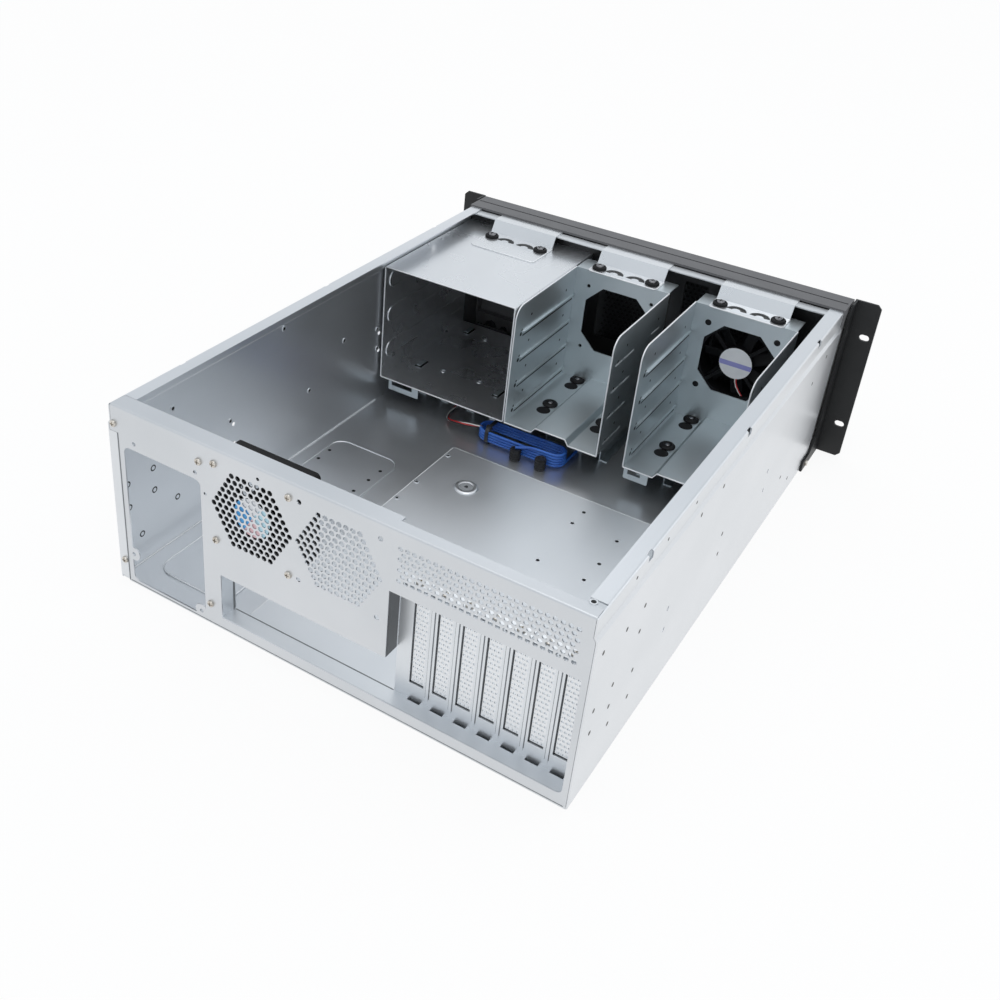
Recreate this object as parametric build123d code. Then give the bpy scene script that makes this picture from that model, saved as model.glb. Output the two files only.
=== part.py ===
from build123d import *
import os
from math import cos, radians, sin

# Overall sizes, in millimetres
BODY_HEIGHT = 175.0
BODY_DEPTH = 562.0
PANEL_OVERHANG = 2.0
BEZEL_DEPTH = 36.0
SHEET = 1.2
BEND = 1.5
FIT = 0.3
SCREW_HEAD = 2.0
ROUND_SIDES = 8

# Side walls and floor
STRIP_INSET = 2.0
STRIP_HEIGHT = 16.0
JOGGLE = 3.0
TOP_FLANGE = 14.0
REAR_STRIP = 8.0
REAR_STRIP_FROM_TOP = 25.0
LID_NOTCH = 8.0
LID_NOTCH_DEPTH = 6.0
LID_NOTCH_SHARES = (0.15, 0.509, 0.858)
RAIL_HOLE_R = 2.1
RAIL_HOLE_Z = (62.0, 83.0)
RAIL_HOLE_FROM_REAR = (148.0, 384.0)
EMBOSS = 0.8
EMBOSS_CORNER = 14.0
EMBOSS_WIDTH = 77.0
EMBOSS_FROM_WALL = 16.8
EMBOSS_FROM_REAR = 24.0
EMBOSS_FROM_TRAY = 53.0

# Rear panel
REAR_FLANGE_WIDE = 16.5
REAR_FLANGE_NARROW = 11.0
RIM = 5.0
RECESS_DEPTH = 16.0
RECESS_CORNER = 4.0
IO_WIDTH = 158.75
IO_HEIGHT = 44.45
IO_FROM_WALL = 112.2
IO_FLOOR_Z = 12.0
SLOT_COUNT = 7
SLOT_PITCH = 20.32
SLOT_EDGE = 7.62
SLOT_FROM_WALL = 15.8
SLOT_FROM_STEP = 18.93
SLOT_FOOT = 15.0
SLOT_HIDDEN = 3.0
SLOT_LIP = 5.0
LINTEL_FROM_TOP = 55.0
RIB_WIDTH = 2.4
RIB_HEIGHT = 0.8
TAIL_SLOT_WIDTH = 11.0
TAIL_SLOT_DEPTH = 3.0
PSU_FROM_WALL = 89.9
PSU_HOLE_Z = 8.0
PSU_HOLE_R = 1.9
PSU_FROM_TOP = 29.0
PSU_FOOT_RISE = 24.0
PSU_TOP_REACH = 64.0
PSU_FOOT_REACH = 74.0
PSU_TAB_R = 6.5
PSU_MARGIN = 4.9
PSU_TOP_MARGIN = 6.2
PSU_SIDE_MARGIN = 1.6
PSU_CORNER = 6.0
REAR_SCREW_EDGE = 5.0
REAR_SCREW_FROM_TOP = 17.0
REAR_SCREW_FOOT_Z = 21.0
REAR_SCREW_POST_TOP = 94.0
REAR_SCREW_POST_FOOT = 100.8

# Grilles and fans
FAN_SIZE = 80.0
FAN_DEPTH = 25.0
FAN_HOLES = 71.5
FAN_HOLE_R = 2.2
FAN_BORE_R = 38.0
FAN_BORE_SIDES = 24
FAN_CORNER = 4.0
FAN_PITCH = 81.0
FAN_FROM_WALL = 144.8
FAN_RISE = 0.7665
HUB_R = 16.5
HUB_LENGTH = 16.0
MOTOR_BASE_R = 17.0
MOTOR_BASE = 3.0
STRUT_WIDTH = 3.5
SHAFT_R = 1.5
SHAFT_PLAY = 0.05
BLADE_COUNT = 7
BLADE_TIP_R = 36.0
BLADE_ROOT_R = 13.0
BLADE_AXIAL = 13.0
BLADE_SWEEP = 14.0
BLADE_CAMBER = 2.5
BLADE_THICK = 1.4
ROTOR_GAP = 1.0
GRILLE_RINGS = 3
GRILLE_PITCH = 10.4
GRILLE_HOLE_R = 5.0
VENT_PITCH = 10.4
VENT_HOLE_R = 4.4
VENT_COLUMNS = 13
VENT_ROWS = 3
VENT_FROM_TOP = 28.5

# Slot covers
COVER_GAP = 1.92
COVER_SHEET = 0.9
COVER_TAIL = 6.0
COVER_TAIL_WIDTH = 10.0
COVER_TAB = 11.0
COVER_VENTS = 6
COVER_VENT_WIDTH = 8.0
COVER_VENT_EDGE = 4.0
COVER_VENT_BAR = 5.0

# Tray that carries the board
TRAY_HEIGHT = 6.0
TRAY_LEFT_FROM_WALL = 124.3
TRAY_RIGHT_FROM_WALL = 8.0
TRAY_FROM_MOUTH = 41.0
TRAY_REAR_GAP = 20.0
BOSS_R = 7.0
BOSS_HEIGHT = 1.2
BOSS_HOLE_R = 2.0
BOSS_FROM_WALL = 172.2
BOSS_FROM_FRONT = 55.5
STANDOFF_HOLE_R = 1.8
STANDOFF_X = 282.6
STANDOFF_ROWS = (44.0, 114.0)
STANDOFF_SPACING = 46.2

# Drive cages, their stands and hangers
CAGE_SHEET = 1.0
CAGE_BASE_Z = 30.0
CAGE_FROM_TOP = 14.0
CAGE_REACH = 176.0
CAGE_GAP = 1.0
BAY_WIDTH = 154.0
BAY_FROM_STRIP = 0.8
BAY_SLOT_LENGTH = 44.0
BAY_SLOT_HEIGHT = 4.0
DRIVE_WIDTH = 106.0
DRIVE_DEPTH = 133.0
CHANNEL_WIDTH = 34.0
CHANNEL_HEIGHT = 6.0
CHANNEL_SLOPE = 4.0
WALL_CORNER = 14.0
RIB_COUNT = 4
RIB_CLEAR = 13.0
RIB_BASE = 11.0
RIB_LENGTH = 112.0
RIB_SHELF = 2.2
RIB_DROP = 3.0
WINDOW_SIZE = 74.0
WINDOW_CORNER = 18.0
WINDOW_FROM_TOP = 53.5
DRIVE_FLANGE = 26.0
STAND_WIDTH = 22.0
STAND_FOOT = 8.0
STAND_LENGTH = 110.0
STAND_FROM_MOUTH = 40.0
STAND_OFFSET = 31.2
GROMMET_R = 6.5
GROMMET_HEIGHT = 3.0
GROMMET_FROM_MOUTH = (62.5, 128.0)
KEYHOLE_R = 5.5
KEYHOLE_REACH = 11.5
HANGER_WIDTH = 76.0
HANGER_CLEAR = 2.5
HANGER_SLOPE = 5.0
HANGER_BAY_REACH = 68.0
HANGER_DRIVE_REACH = 46.0
HANGER_SCREW_SPACING = 60.0
HANGER_SCREW_FROM_WALL = 36.0
WASHER_R = 7.5
WASHER_HEIGHT = 3.0
RAIL_FLANGE = 14.0

# Front wall, bezel and controls
BEZEL_WALL = 2.5
BEZEL_FACE = 3.0
BEZEL_SIDE_GAP = 1.2
GRILLE_SLOTS = 22
GRILLE_SLOT_WIDTH = 5.0
GRILLE_FROM_WALL = 22.3
GRILLE_FROM_BAY = 20.7
GRILLE_FOOT_Z = 36.0
GRILLE_FROM_TOP = 29.0
BAY_COVER_INSET = 3.5
BAY_COVER_COUNT = 3
BAY_CLEAR = 7.1
BAY_COVER_DEPTH = 12.0
BAY_COVER_WALL = 2.0
BAY_COVER_GRIP = 6.0
CONTROL_Z = 17.0
POWER_FROM_WALL = 24.0
POWER_R = 6.0
RESET_FROM_WALL = 42.0
RESET_R = 3.0
BUTTON_TRAVEL = 2.0
BUTTON_STEM = 9.0
BUTTON_COLLAR = 1.5
BUTTON_PLAY = 0.2
LAMP_R = 1.6
LAMP_FROM_WALL = (56.0, 64.0)
SOCKET_FROM_WALL = (98.0, 122.0)
SOCKET_WIDTH = 13.0
SOCKET_HEIGHT = 5.6
SOCKET_DEPTH = 14.0
SOCKET_WALL = 0.8
LEAD_HOLE_SIDE = 11.0
LEAD_HOLE_R = 8.0
LEAD_HOLE_Z = 15.0

# Rack ears
EAR_WIDTH = 26.3
EAR_SHEET = 2.5
EAR_FLANGE = 24.0
EAR_FOOT = 58.0
EAR_FOOT_HEIGHT = 12.0
EAR_STEP = 14.0
EAR_HOLE_FROM_TIP = 8.75
EAR_HOLE_SPACING = 101.6
EAR_SLOT_LENGTH = 10.0
EAR_SLOT_R = 3.4
EAR_CORNER = 4.0
EAR_SCREW_FROM_FRONT = 48.0

# Screws
SHANK_R = 1.7
SHANK_SIDES = 6
HEAD_SIDES = 6
HEAD_R = 3.2
SHANK_LENGTH = 6.0

# Loose leads that lie on the floor
LEAD_R = 1.5
LEAD_SIDES = 5
FAN_LEAD_R = 1.4
HANK_SIZE = (100.0, 24.0, 17.0)
HANK_CORNER = 5.0
HANK_SIDE = 31.0
HANK_UNDER = 16.0
TIE_WIDTH = 4.0
TIE_THICK = 1.2
TIE_FROM_END = 14.0
PLUG_R = 6.0
PLUG_HEIGHT = 13.0
PLUG_STEPS = (-2.0, -31.0)
FAN_PLUG = (8.0, 12.0, 5.0)

# Places worked out from the sizes above: the case is as wide as its sockets and card slots need
BODY_WIDTH = (2 * SHEET + IO_FROM_WALL + IO_WIDTH + SLOT_FROM_STEP + (SLOT_COUNT - 1) * SLOT_PITCH
              + SLOT_FROM_WALL)
RACK_WIDTH = BODY_WIDTH + 2 * EAR_WIDTH
PANEL_HEIGHT = BODY_HEIGHT + PANEL_OVERHANG
Y_FRONT = -(BEZEL_DEPTH + BODY_DEPTH + SCREW_HEAD) / 2
Y_BODY = Y_FRONT + BEZEL_DEPTH
Y_REAR = Y_BODY + BODY_DEPTH
HALF = BODY_WIDTH / 2
INSIDE = HALF - SHEET
STRIP_FACE = HALF - STRIP_INSET - SHEET
STRIP_FOOT_Z = BODY_HEIGHT - STRIP_HEIGHT - JOGGLE
Y_SLOT = Y_REAR - RECESS_DEPTH
X_IO = INSIDE - IO_FROM_WALL
X_STEP = X_IO - IO_WIDTH
X_RECESS = -(INSIDE - RIM)
Z_IO_TOP = IO_FLOOR_Z + IO_HEIGHT
Z_LINTEL = BODY_HEIGHT - LINTEL_FROM_TOP
Z_WINDOW = IO_FLOOR_Z + SLOT_FOOT
SLOT_OPEN = Z_LINTEL + SLOT_HIDDEN - Z_WINDOW
SLOT_WINDOW = SLOT_PITCH - SLOT_EDGE
COVER_WIDTH = SLOT_PITCH - COVER_GAP
Z_SHELF = Z_WINDOW + SLOT_OPEN + SLOT_LIP
X_SLOTS = [-(INSIDE - SLOT_FROM_WALL) + i * SLOT_PITCH for i in range(SLOT_COUNT)]
X_PSU = INSIDE - PSU_FROM_WALL
Z_PSU_TOP = BODY_HEIGHT - PSU_FROM_TOP
Z_PSU_FOOT = PSU_HOLE_Z + PSU_FOOT_RISE
X_FANS = [INSIDE - FAN_FROM_WALL - i * FAN_PITCH for i in range(2)]
Z_FANS = Z_IO_TOP + FAN_SIZE / 2 + FAN_RISE * (BODY_HEIGHT - Z_IO_TOP - FAN_SIZE)
FLOOR_Z = SHEET
Z_STRIP_TOP = BODY_HEIGHT - REAR_STRIP_FROM_TOP
Y_MOUTH = Y_BODY + CAGE_REACH
Y_TRAY = Y_MOUTH + TRAY_FROM_MOUTH
Y_DRIVE_FRONT = Y_MOUTH - DRIVE_DEPTH
CAGE_TOP_Z = BODY_HEIGHT - CAGE_FROM_TOP
WINDOW_Z = CAGE_TOP_Z - WINDOW_FROM_TOP
RIB_PITCH = (CAGE_TOP_Z - CAGE_BASE_Z - RIB_CLEAR) / RIB_COUNT
BAY_COVER_HEIGHT = (CAGE_TOP_Z - CAGE_BASE_Z - BAY_CLEAR) / BAY_COVER_COUNT
X_BAY = STRIP_FACE - BAY_FROM_STRIP - BAY_WIDTH / 2
X_CENTRE_EDGE = X_BAY - BAY_WIDTH / 2 - CAGE_GAP - DRIVE_WIDTH
X_DRIVES = {
    "centre": X_CENTRE_EDGE + DRIVE_WIDTH / 2,
    "right": (X_CENTRE_EDGE - STRIP_FACE) / 2,
}
RAIL_TOP_Z = BODY_HEIGHT - SHEET - FIT
HANGER_SCREW_Y = Y_BODY + HANGER_SCREW_FROM_WALL
POWER_X = INSIDE - POWER_FROM_WALL
RESET_X = INSIDE - RESET_FROM_WALL
LAMP_X = [INSIDE - reach for reach in LAMP_FROM_WALL]
SOCKET_X = [INSIDE - reach for reach in SOCKET_FROM_WALL]
LEAD_HOLE_X = [X_BAY, X_DRIVES["centre"] + LEAD_HOLE_SIDE]
TRAY_TOP_Z = FLOOR_Z + TRAY_HEIGHT
EAR_HOLE_Z = [(PANEL_HEIGHT + side * EAR_HOLE_SPACING) / 2 for side in (-1, 1)]


def slab(x, y, z):
    """A block between two corners, given as ranges along X, Y and Z."""
    spans = [(min(r), max(r)) for r in (x, y, z)]
    size = [high - low for low, high in spans]
    middle = [(low + high) / 2 for low, high in spans]
    return Pos(*middle) * Box(*size)


def rect(x, z):
    """A flat rectangle between two ranges."""
    middle = [(min(r) + max(r)) / 2 for r in (x, z)]
    return Pos(*middle) * Rectangle(abs(x[1] - x[0]), abs(z[1] - z[0]))


def along_y(face, y0, y1):
    """A face drawn in X and Z, pulled from y0 to y1."""
    return extrude(Plane.XZ.offset(-y0) * face, amount=-(y1 - y0))


def along_x(face, x0, x1):
    """A face drawn in Y and Z, pulled from x0 to x1."""
    return extrude(Plane.YZ.offset(x0) * face, amount=x1 - x0)


def along_z(face, z0, z1):
    """A face drawn in X and Y, pulled from z0 to z1."""
    return extrude(Plane.XY.offset(z0) * face, amount=z1 - z0)


def folded(points, thickness=SHEET, radius=BEND):
    """The section of a folded sheet whose middle line runs through the points."""
    return trace(FilletPolyline(*points, radius=radius), line_width=thickness)


def mirrored(half):
    """A run of points and its mirror image in X, joined in the middle."""
    return half + [(-x, z) for x, z in reversed(half)]


def hex_points(rings, pitch):
    """Centres of a hexagonal patch of holes, with corners along X."""
    steps = range(-rings, rings + 1)
    cells = [(q, r) for q in steps for r in steps if abs(q + r) <= rings]
    return [(pitch * (q + r / 2), pitch * r * sin(radians(60))) for q, r in cells]


def prism(radius, z0, z1, sides=ROUND_SIDES):
    """A small upright post or disc with flat sides, centred on Z."""
    return along_z(RegularPolygon(radius, sides), z0, z1)


def screw_hole():
    """A six-sided hole that a screw passes with room to spare."""
    return RegularPolygon(FAN_HOLE_R, SHANK_SIDES)


def pan_screw(shank_length, head=SCREW_HEAD):
    """A pan-head screw that points down, with its head seated at z = 0."""
    return prism(SHANK_R, -shank_length, 0, SHANK_SIDES) + prism(HEAD_R, 0, head, HEAD_SIDES)


def toward_front(x, y, z):
    """Turns a piece that points down so that it points to -Y."""
    return Pos(x, y, z) * Rot(-90, 0, 0)


def make_tub():
    """Floor and side walls, folded from one sheet."""
    half = [
        (STRIP_FACE + SHEET - TOP_FLANGE, BODY_HEIGHT - SHEET / 2),
        (STRIP_FACE + SHEET / 2, BODY_HEIGHT - SHEET / 2),
        (STRIP_FACE + SHEET / 2, BODY_HEIGHT - STRIP_HEIGHT),
        (HALF - SHEET / 2, STRIP_FOOT_Z),
        (HALF - SHEET / 2, SHEET / 2),
    ]
    tub = along_y(folded(mirrored(half)), Y_BODY, Y_REAR)
    corner = SHEET + BEND
    tub -= slab((-INSIDE, INSIDE), (Y_REAR - SHEET, Y_REAR), (0, corner))
    flange_end = Y_REAR - REAR_FLANGE_WIDE - FIT
    tub -= slab((-STRIP_FACE, STRIP_FACE), (flange_end, Y_REAR), (BODY_HEIGHT - corner, BODY_HEIGHT))
    strip_x = (INSIDE - REAR_STRIP, INSIDE)
    tub += slab(strip_x, (Y_REAR - SHEET, Y_REAR), (corner, Z_STRIP_TOP))
    for x, z in rear_screw_places()[1]:
        tub -= along_y(Pos(x, z) * screw_hole(), Y_REAR - SHEET, Y_REAR)
    notch = (STRIP_FACE - SHEET, HALF)
    for side in (-1, 1):
        for share in LID_NOTCH_SHARES:
            middle = Y_REAR - share * BODY_DEPTH
            y = (middle - LID_NOTCH / 2, middle + LID_NOTCH / 2)
            z = (BODY_HEIGHT - LID_NOTCH_DEPTH, BODY_HEIGHT)
            tub -= slab([side * x for x in notch], y, z)
    holes = [Pos(Y_REAR - reach, z) * Circle(RAIL_HOLE_R)
             for reach in RAIL_HOLE_FROM_REAR for z in RAIL_HOLE_Z]
    for side in (-1, 1):
        tub -= [along_x(hole, side * (INSIDE - FIT), side * (HALF + FIT)) for hole in holes]
    length = Y_REAR - EMBOSS_FROM_REAR - Y_TRAY - EMBOSS_FROM_TRAY
    middle = (INSIDE - EMBOSS_FROM_WALL - EMBOSS_WIDTH / 2, Y_REAR - EMBOSS_FROM_REAR - length / 2)
    panel = Pos(*middle) * RectangleRounded(EMBOSS_WIDTH, length, EMBOSS_CORNER)
    tub += along_z(panel, SHEET, SHEET + EMBOSS)
    pocket = offset(panel, amount=-SHEET)
    return tub - along_z(pocket, 0, EMBOSS)


def psu_opening():
    """Cut-out for a power supply that stands on its side, with its two screw tabs."""
    x = (X_PSU - PSU_MARGIN, X_PSU + PSU_FOOT_REACH + PSU_SIDE_MARGIN)
    z = (PSU_HOLE_Z - PSU_MARGIN + SHEET, Z_PSU_TOP - PSU_TOP_MARGIN)
    opening = chamfer(rect(x, z).vertices(), PSU_CORNER)
    tabs = [(X_PSU, PSU_HOLE_Z), (X_PSU + PSU_FOOT_REACH, Z_PSU_FOOT)]
    return opening - [Pos(*tab) * RegularPolygon(PSU_TAB_R, ROUND_SIDES) for tab in tabs]


def psu_holes():
    """Centres of the four power supply screws."""
    return [
        (X_PSU, PSU_HOLE_Z),
        (X_PSU, Z_PSU_TOP),
        (X_PSU + PSU_TOP_REACH, Z_PSU_TOP),
        (X_PSU + PSU_FOOT_REACH, Z_PSU_FOOT),
    ]


def fan_holes(x, z):
    """Centres of a fan's four screws."""
    reach = FAN_HOLES / 2
    return [(x + i * reach, z + j * reach) for i in (-1, 1) for j in (-1, 1)]


def rear_screw_places():
    """Centres of the screws on the rear: three in the panel, and one in the strip beside it."""
    edge = INSIDE - REAR_SCREW_EDGE
    top = BODY_HEIGHT - REAR_SCREW_FROM_TOP
    panel = [
        (edge, top),
        (INSIDE - REAR_SCREW_POST_TOP, top),
        (INSIDE - REAR_SCREW_POST_FOOT, REAR_SCREW_FOOT_Z),
    ]
    return panel, [(edge, REAR_SCREW_FOOT_Z)]


def make_rear_panel():
    """Rear wall with its grilles, folded inward along the top."""
    side = INSIDE - FIT
    neck = STRIP_FACE - FIT
    seam = INSIDE - REAR_STRIP - FIT
    outline = Polyline(
        (-side, 0), (seam, 0), (seam, Z_STRIP_TOP + FIT), (side, Z_STRIP_TOP + FIT),
        (side, STRIP_FOOT_Z - FIT), (neck, STRIP_FOOT_Z + JOGGLE - FIT), (neck, BODY_HEIGHT - BEND),
        (-neck, BODY_HEIGHT - BEND), (-neck, STRIP_FOOT_Z + JOGGLE - FIT), (-side, STRIP_FOOT_Z - FIT),
        close=True,
    )
    face = make_face(outline)
    face -= psu_opening()
    recess = rect((X_RECESS, X_IO), (IO_FLOOR_Z, Z_IO_TOP)) + rect((X_RECESS, X_STEP), (IO_FLOOR_Z, Z_LINTEL))
    face -= chamfer(recess.vertices().group_by(Axis.X)[0], RECESS_CORNER)
    hexagon = RegularPolygon(GRILLE_HOLE_R, 6, rotation=30)
    grille = hex_points(GRILLE_RINGS, GRILLE_PITCH)
    face -= [Pos(fan_x + x, Z_FANS + z) * hexagon for fan_x in X_FANS for x, z in grille]
    vent_x = (X_RECESS + X_STEP) / 2
    vent_z = BODY_HEIGHT - VENT_FROM_TOP
    diamond = RegularPolygon(VENT_HOLE_R, 4)
    face -= [vent_loc * diamond for vent_loc in
             Pos(vent_x, vent_z) * GridLocations(VENT_PITCH, VENT_PITCH, VENT_COLUMNS, VENT_ROWS)]
    face -= [Pos(*hole) * Circle(PSU_HOLE_R) for hole in psu_holes()]
    face -= [Pos(*hole) * screw_hole() for hole in fan_holes(X_FANS[0], Z_FANS) + rear_screw_places()[0]]
    face -= [Pos(*hole) * Circle(FAN_HOLE_R) for hole in fan_holes(X_FANS[1], Z_FANS)]
    panel = along_y(face, Y_REAR - SHEET, Y_REAR)
    for x, reach in (((X_STEP, neck), REAR_FLANGE_WIDE), ((-neck, X_STEP), REAR_FLANGE_NARROW)):
        edge_z = BODY_HEIGHT - SHEET / 2
        turn_y = Y_REAR - SHEET / 2
        fold = folded([(Y_REAR - reach, edge_z), (turn_y, edge_z), (turn_y, edge_z - 2 * BEND - SHEET)])
        panel += along_x(fold, *x)
    return panel


def make_slot_panel():
    """Recessed wall for the board's sockets and the card slots, with its floor and side walls."""
    back = (Y_SLOT - SHEET, Y_SLOT)
    depth = (Y_SLOT - SHEET, Y_REAR - SHEET)
    face = rect((X_RECESS, X_STEP), (IO_FLOOR_Z - SHEET, Z_SHELF))
    window = (Z_WINDOW, Z_WINDOW + SLOT_OPEN)
    face -= [rect((x - SLOT_WINDOW / 2, x + SLOT_WINDOW / 2), window) for x in X_SLOTS]
    panel = along_y(face, *back)
    panel += slab((X_RECESS, X_IO), depth, (IO_FLOOR_Z - SHEET, IO_FLOOR_Z))
    panel += slab((X_RECESS, X_STEP), depth, (Z_SHELF - SHEET, Z_SHELF))
    panel += slab((X_IO, X_IO + SHEET), depth, (IO_FLOOR_Z - SHEET, Z_IO_TOP + SHEET))
    panel += slab((X_STEP, X_IO), depth, (Z_IO_TOP, Z_IO_TOP + SHEET))
    panel += slab((X_STEP, X_STEP + SHEET), depth, (Z_IO_TOP, Z_SHELF))
    panel += slab((X_RECESS - SHEET, X_RECESS), depth, (IO_FLOOR_Z - SHEET, Z_SHELF))
    for x in X_SLOTS[1:]:
        middle = x - SLOT_PITCH / 2
        panel += slab((middle - RIB_WIDTH / 2, middle + RIB_WIDTH / 2), (Y_SLOT, Y_SLOT + RIB_HEIGHT),
                      (IO_FLOOR_Z + SLOT_LIP, Z_SHELF - SLOT_LIP))
    for x in X_SLOTS:
        panel -= slab((x - TAIL_SLOT_WIDTH / 2, x + TAIL_SLOT_WIDTH / 2), (Y_SLOT, Y_SLOT + TAIL_SLOT_DEPTH),
                      (IO_FLOOR_Z - SHEET, IO_FLOOR_Z))
        panel -= along_z(Pos(x, Y_SLOT + COVER_TAB / 2) * screw_hole(), Z_SHELF - SHEET, Z_SHELF)
    return panel


def make_slot_cover(x):
    """Vented blank for one card slot, with a tab on top and a tail at its foot."""
    back_y = Y_SLOT - SHEET
    tail_z = IO_FLOOR_Z - COVER_TAIL
    face = rect((x - COVER_WIDTH / 2, x + COVER_WIDTH / 2), (IO_FLOOR_Z, Z_SHELF + COVER_SHEET))
    face += rect((x - COVER_TAIL_WIDTH / 2, x + COVER_TAIL_WIDTH / 2), (tail_z, IO_FLOOR_Z))
    middle_z = Z_WINDOW + SLOT_OPEN / 2
    pitch = (SLOT_OPEN - 2 * COVER_VENT_EDGE) / COVER_VENTS
    vents = Pos(x, middle_z) * GridLocations(1, pitch, 1, COVER_VENTS)
    face -= [vent * Rectangle(COVER_VENT_WIDTH, pitch - COVER_VENT_BAR) for vent in vents]
    cover = along_y(face, back_y - COVER_SHEET, back_y)
    tab = slab((x - COVER_WIDTH / 2, x + COVER_WIDTH / 2), (back_y, Y_SLOT + COVER_TAB),
               (Z_SHELF, Z_SHELF + COVER_SHEET))
    tab -= along_z(Pos(x, Y_SLOT + COVER_TAB / 2) * screw_hole(), Z_SHELF, Z_SHELF + COVER_SHEET)
    return cover + tab


def make_slot_screws():
    """Screws that hold the tabs of the slot covers."""
    seat = Z_SHELF + COVER_SHEET
    return [Pos(x, Y_SLOT + COVER_TAB / 2, seat) * pan_screw(SHANK_LENGTH) for x in X_SLOTS]


def make_tray():
    """Raised tray with a folded edge all round, a dimpled boss and board screw holes."""
    x = (-(INSIDE - TRAY_RIGHT_FROM_WALL), INSIDE - TRAY_LEFT_FROM_WALL)
    y = (Y_TRAY, Y_REAR - TRAY_REAR_GAP)
    top = FLOOR_Z + TRAY_HEIGHT
    tray = slab(x, y, (FLOOR_Z, top))
    tray -= slab((x[0] + SHEET, x[1] - SHEET), (y[0] + SHEET, y[1] - SHEET), (FLOOR_Z, top - SHEET))
    boss_y = Y_TRAY + BOSS_FROM_FRONT
    boss_x = INSIDE - BOSS_FROM_WALL
    tray += Pos(boss_x, boss_y) * prism(BOSS_R, top, top + BOSS_HEIGHT, 2 * ROUND_SIDES)
    tray -= Pos(boss_x, boss_y) * prism(BOSS_HOLE_R, top - SHEET, top + BOSS_HEIGHT)
    for reach in STANDOFF_ROWS:
        for step in (0, 1):
            spot = (INSIDE - STANDOFF_X - step * STANDOFF_SPACING, Y_TRAY + reach, top)
            tray -= Pos(*spot) * Cylinder(STANDOFF_HOLE_R, 4 * SHEET)
    return tray


def make_bay_cage():
    """Closed tube for wide drives, open to the front and the rear."""
    x = (X_BAY - BAY_WIDTH / 2, X_BAY + BAY_WIDTH / 2)
    z = (CAGE_BASE_Z, CAGE_TOP_Z)
    section = fillet(rect(x, z).vertices(), BEND)
    section -= rect((x[0] + CAGE_SHEET, x[1] - CAGE_SHEET), (z[0] + CAGE_SHEET, z[1] - CAGE_SHEET))
    cage = along_y(section, Y_BODY + SHEET, Y_MOUTH)
    slot = Rectangle(BAY_SLOT_LENGTH, BAY_SLOT_HEIGHT)
    middle_z = (CAGE_BASE_Z + CAGE_TOP_Z) / 2
    levels = Pos(Y_MOUTH - BAY_SLOT_LENGTH, middle_z) * GridLocations(1, BAY_COVER_HEIGHT, 1, BAY_COVER_COUNT)
    for place in levels:
        cage -= along_x(place * slot, x[0] - FIT, x[1] + FIT)
    for screw_x in hanger_screw_xs(X_BAY):
        cage -= along_z(Pos(screw_x, HANGER_SCREW_Y) * screw_hole(), CAGE_TOP_Z - CAGE_SHEET, CAGE_TOP_Z)
    return cage


def hanger_screw_xs(x):
    """The two screw centres of a hanger at x."""
    return [x - HANGER_SCREW_SPACING / 2, x + HANGER_SCREW_SPACING / 2]


def drive_section(x):
    """Floor with a raised channel, and two side walls, of a narrow drive cage."""
    half = DRIVE_WIDTH / 2 - CAGE_SHEET / 2
    low = CAGE_BASE_Z + CAGE_SHEET / 2
    points = mirrored([
        (half, CAGE_TOP_Z),
        (half, low),
        (CHANNEL_WIDTH / 2 + CHANNEL_SLOPE, low),
        (CHANNEL_WIDTH / 2, low + CHANNEL_HEIGHT),
    ])
    return Pos(x, 0) * folded(points, CAGE_SHEET)


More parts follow.
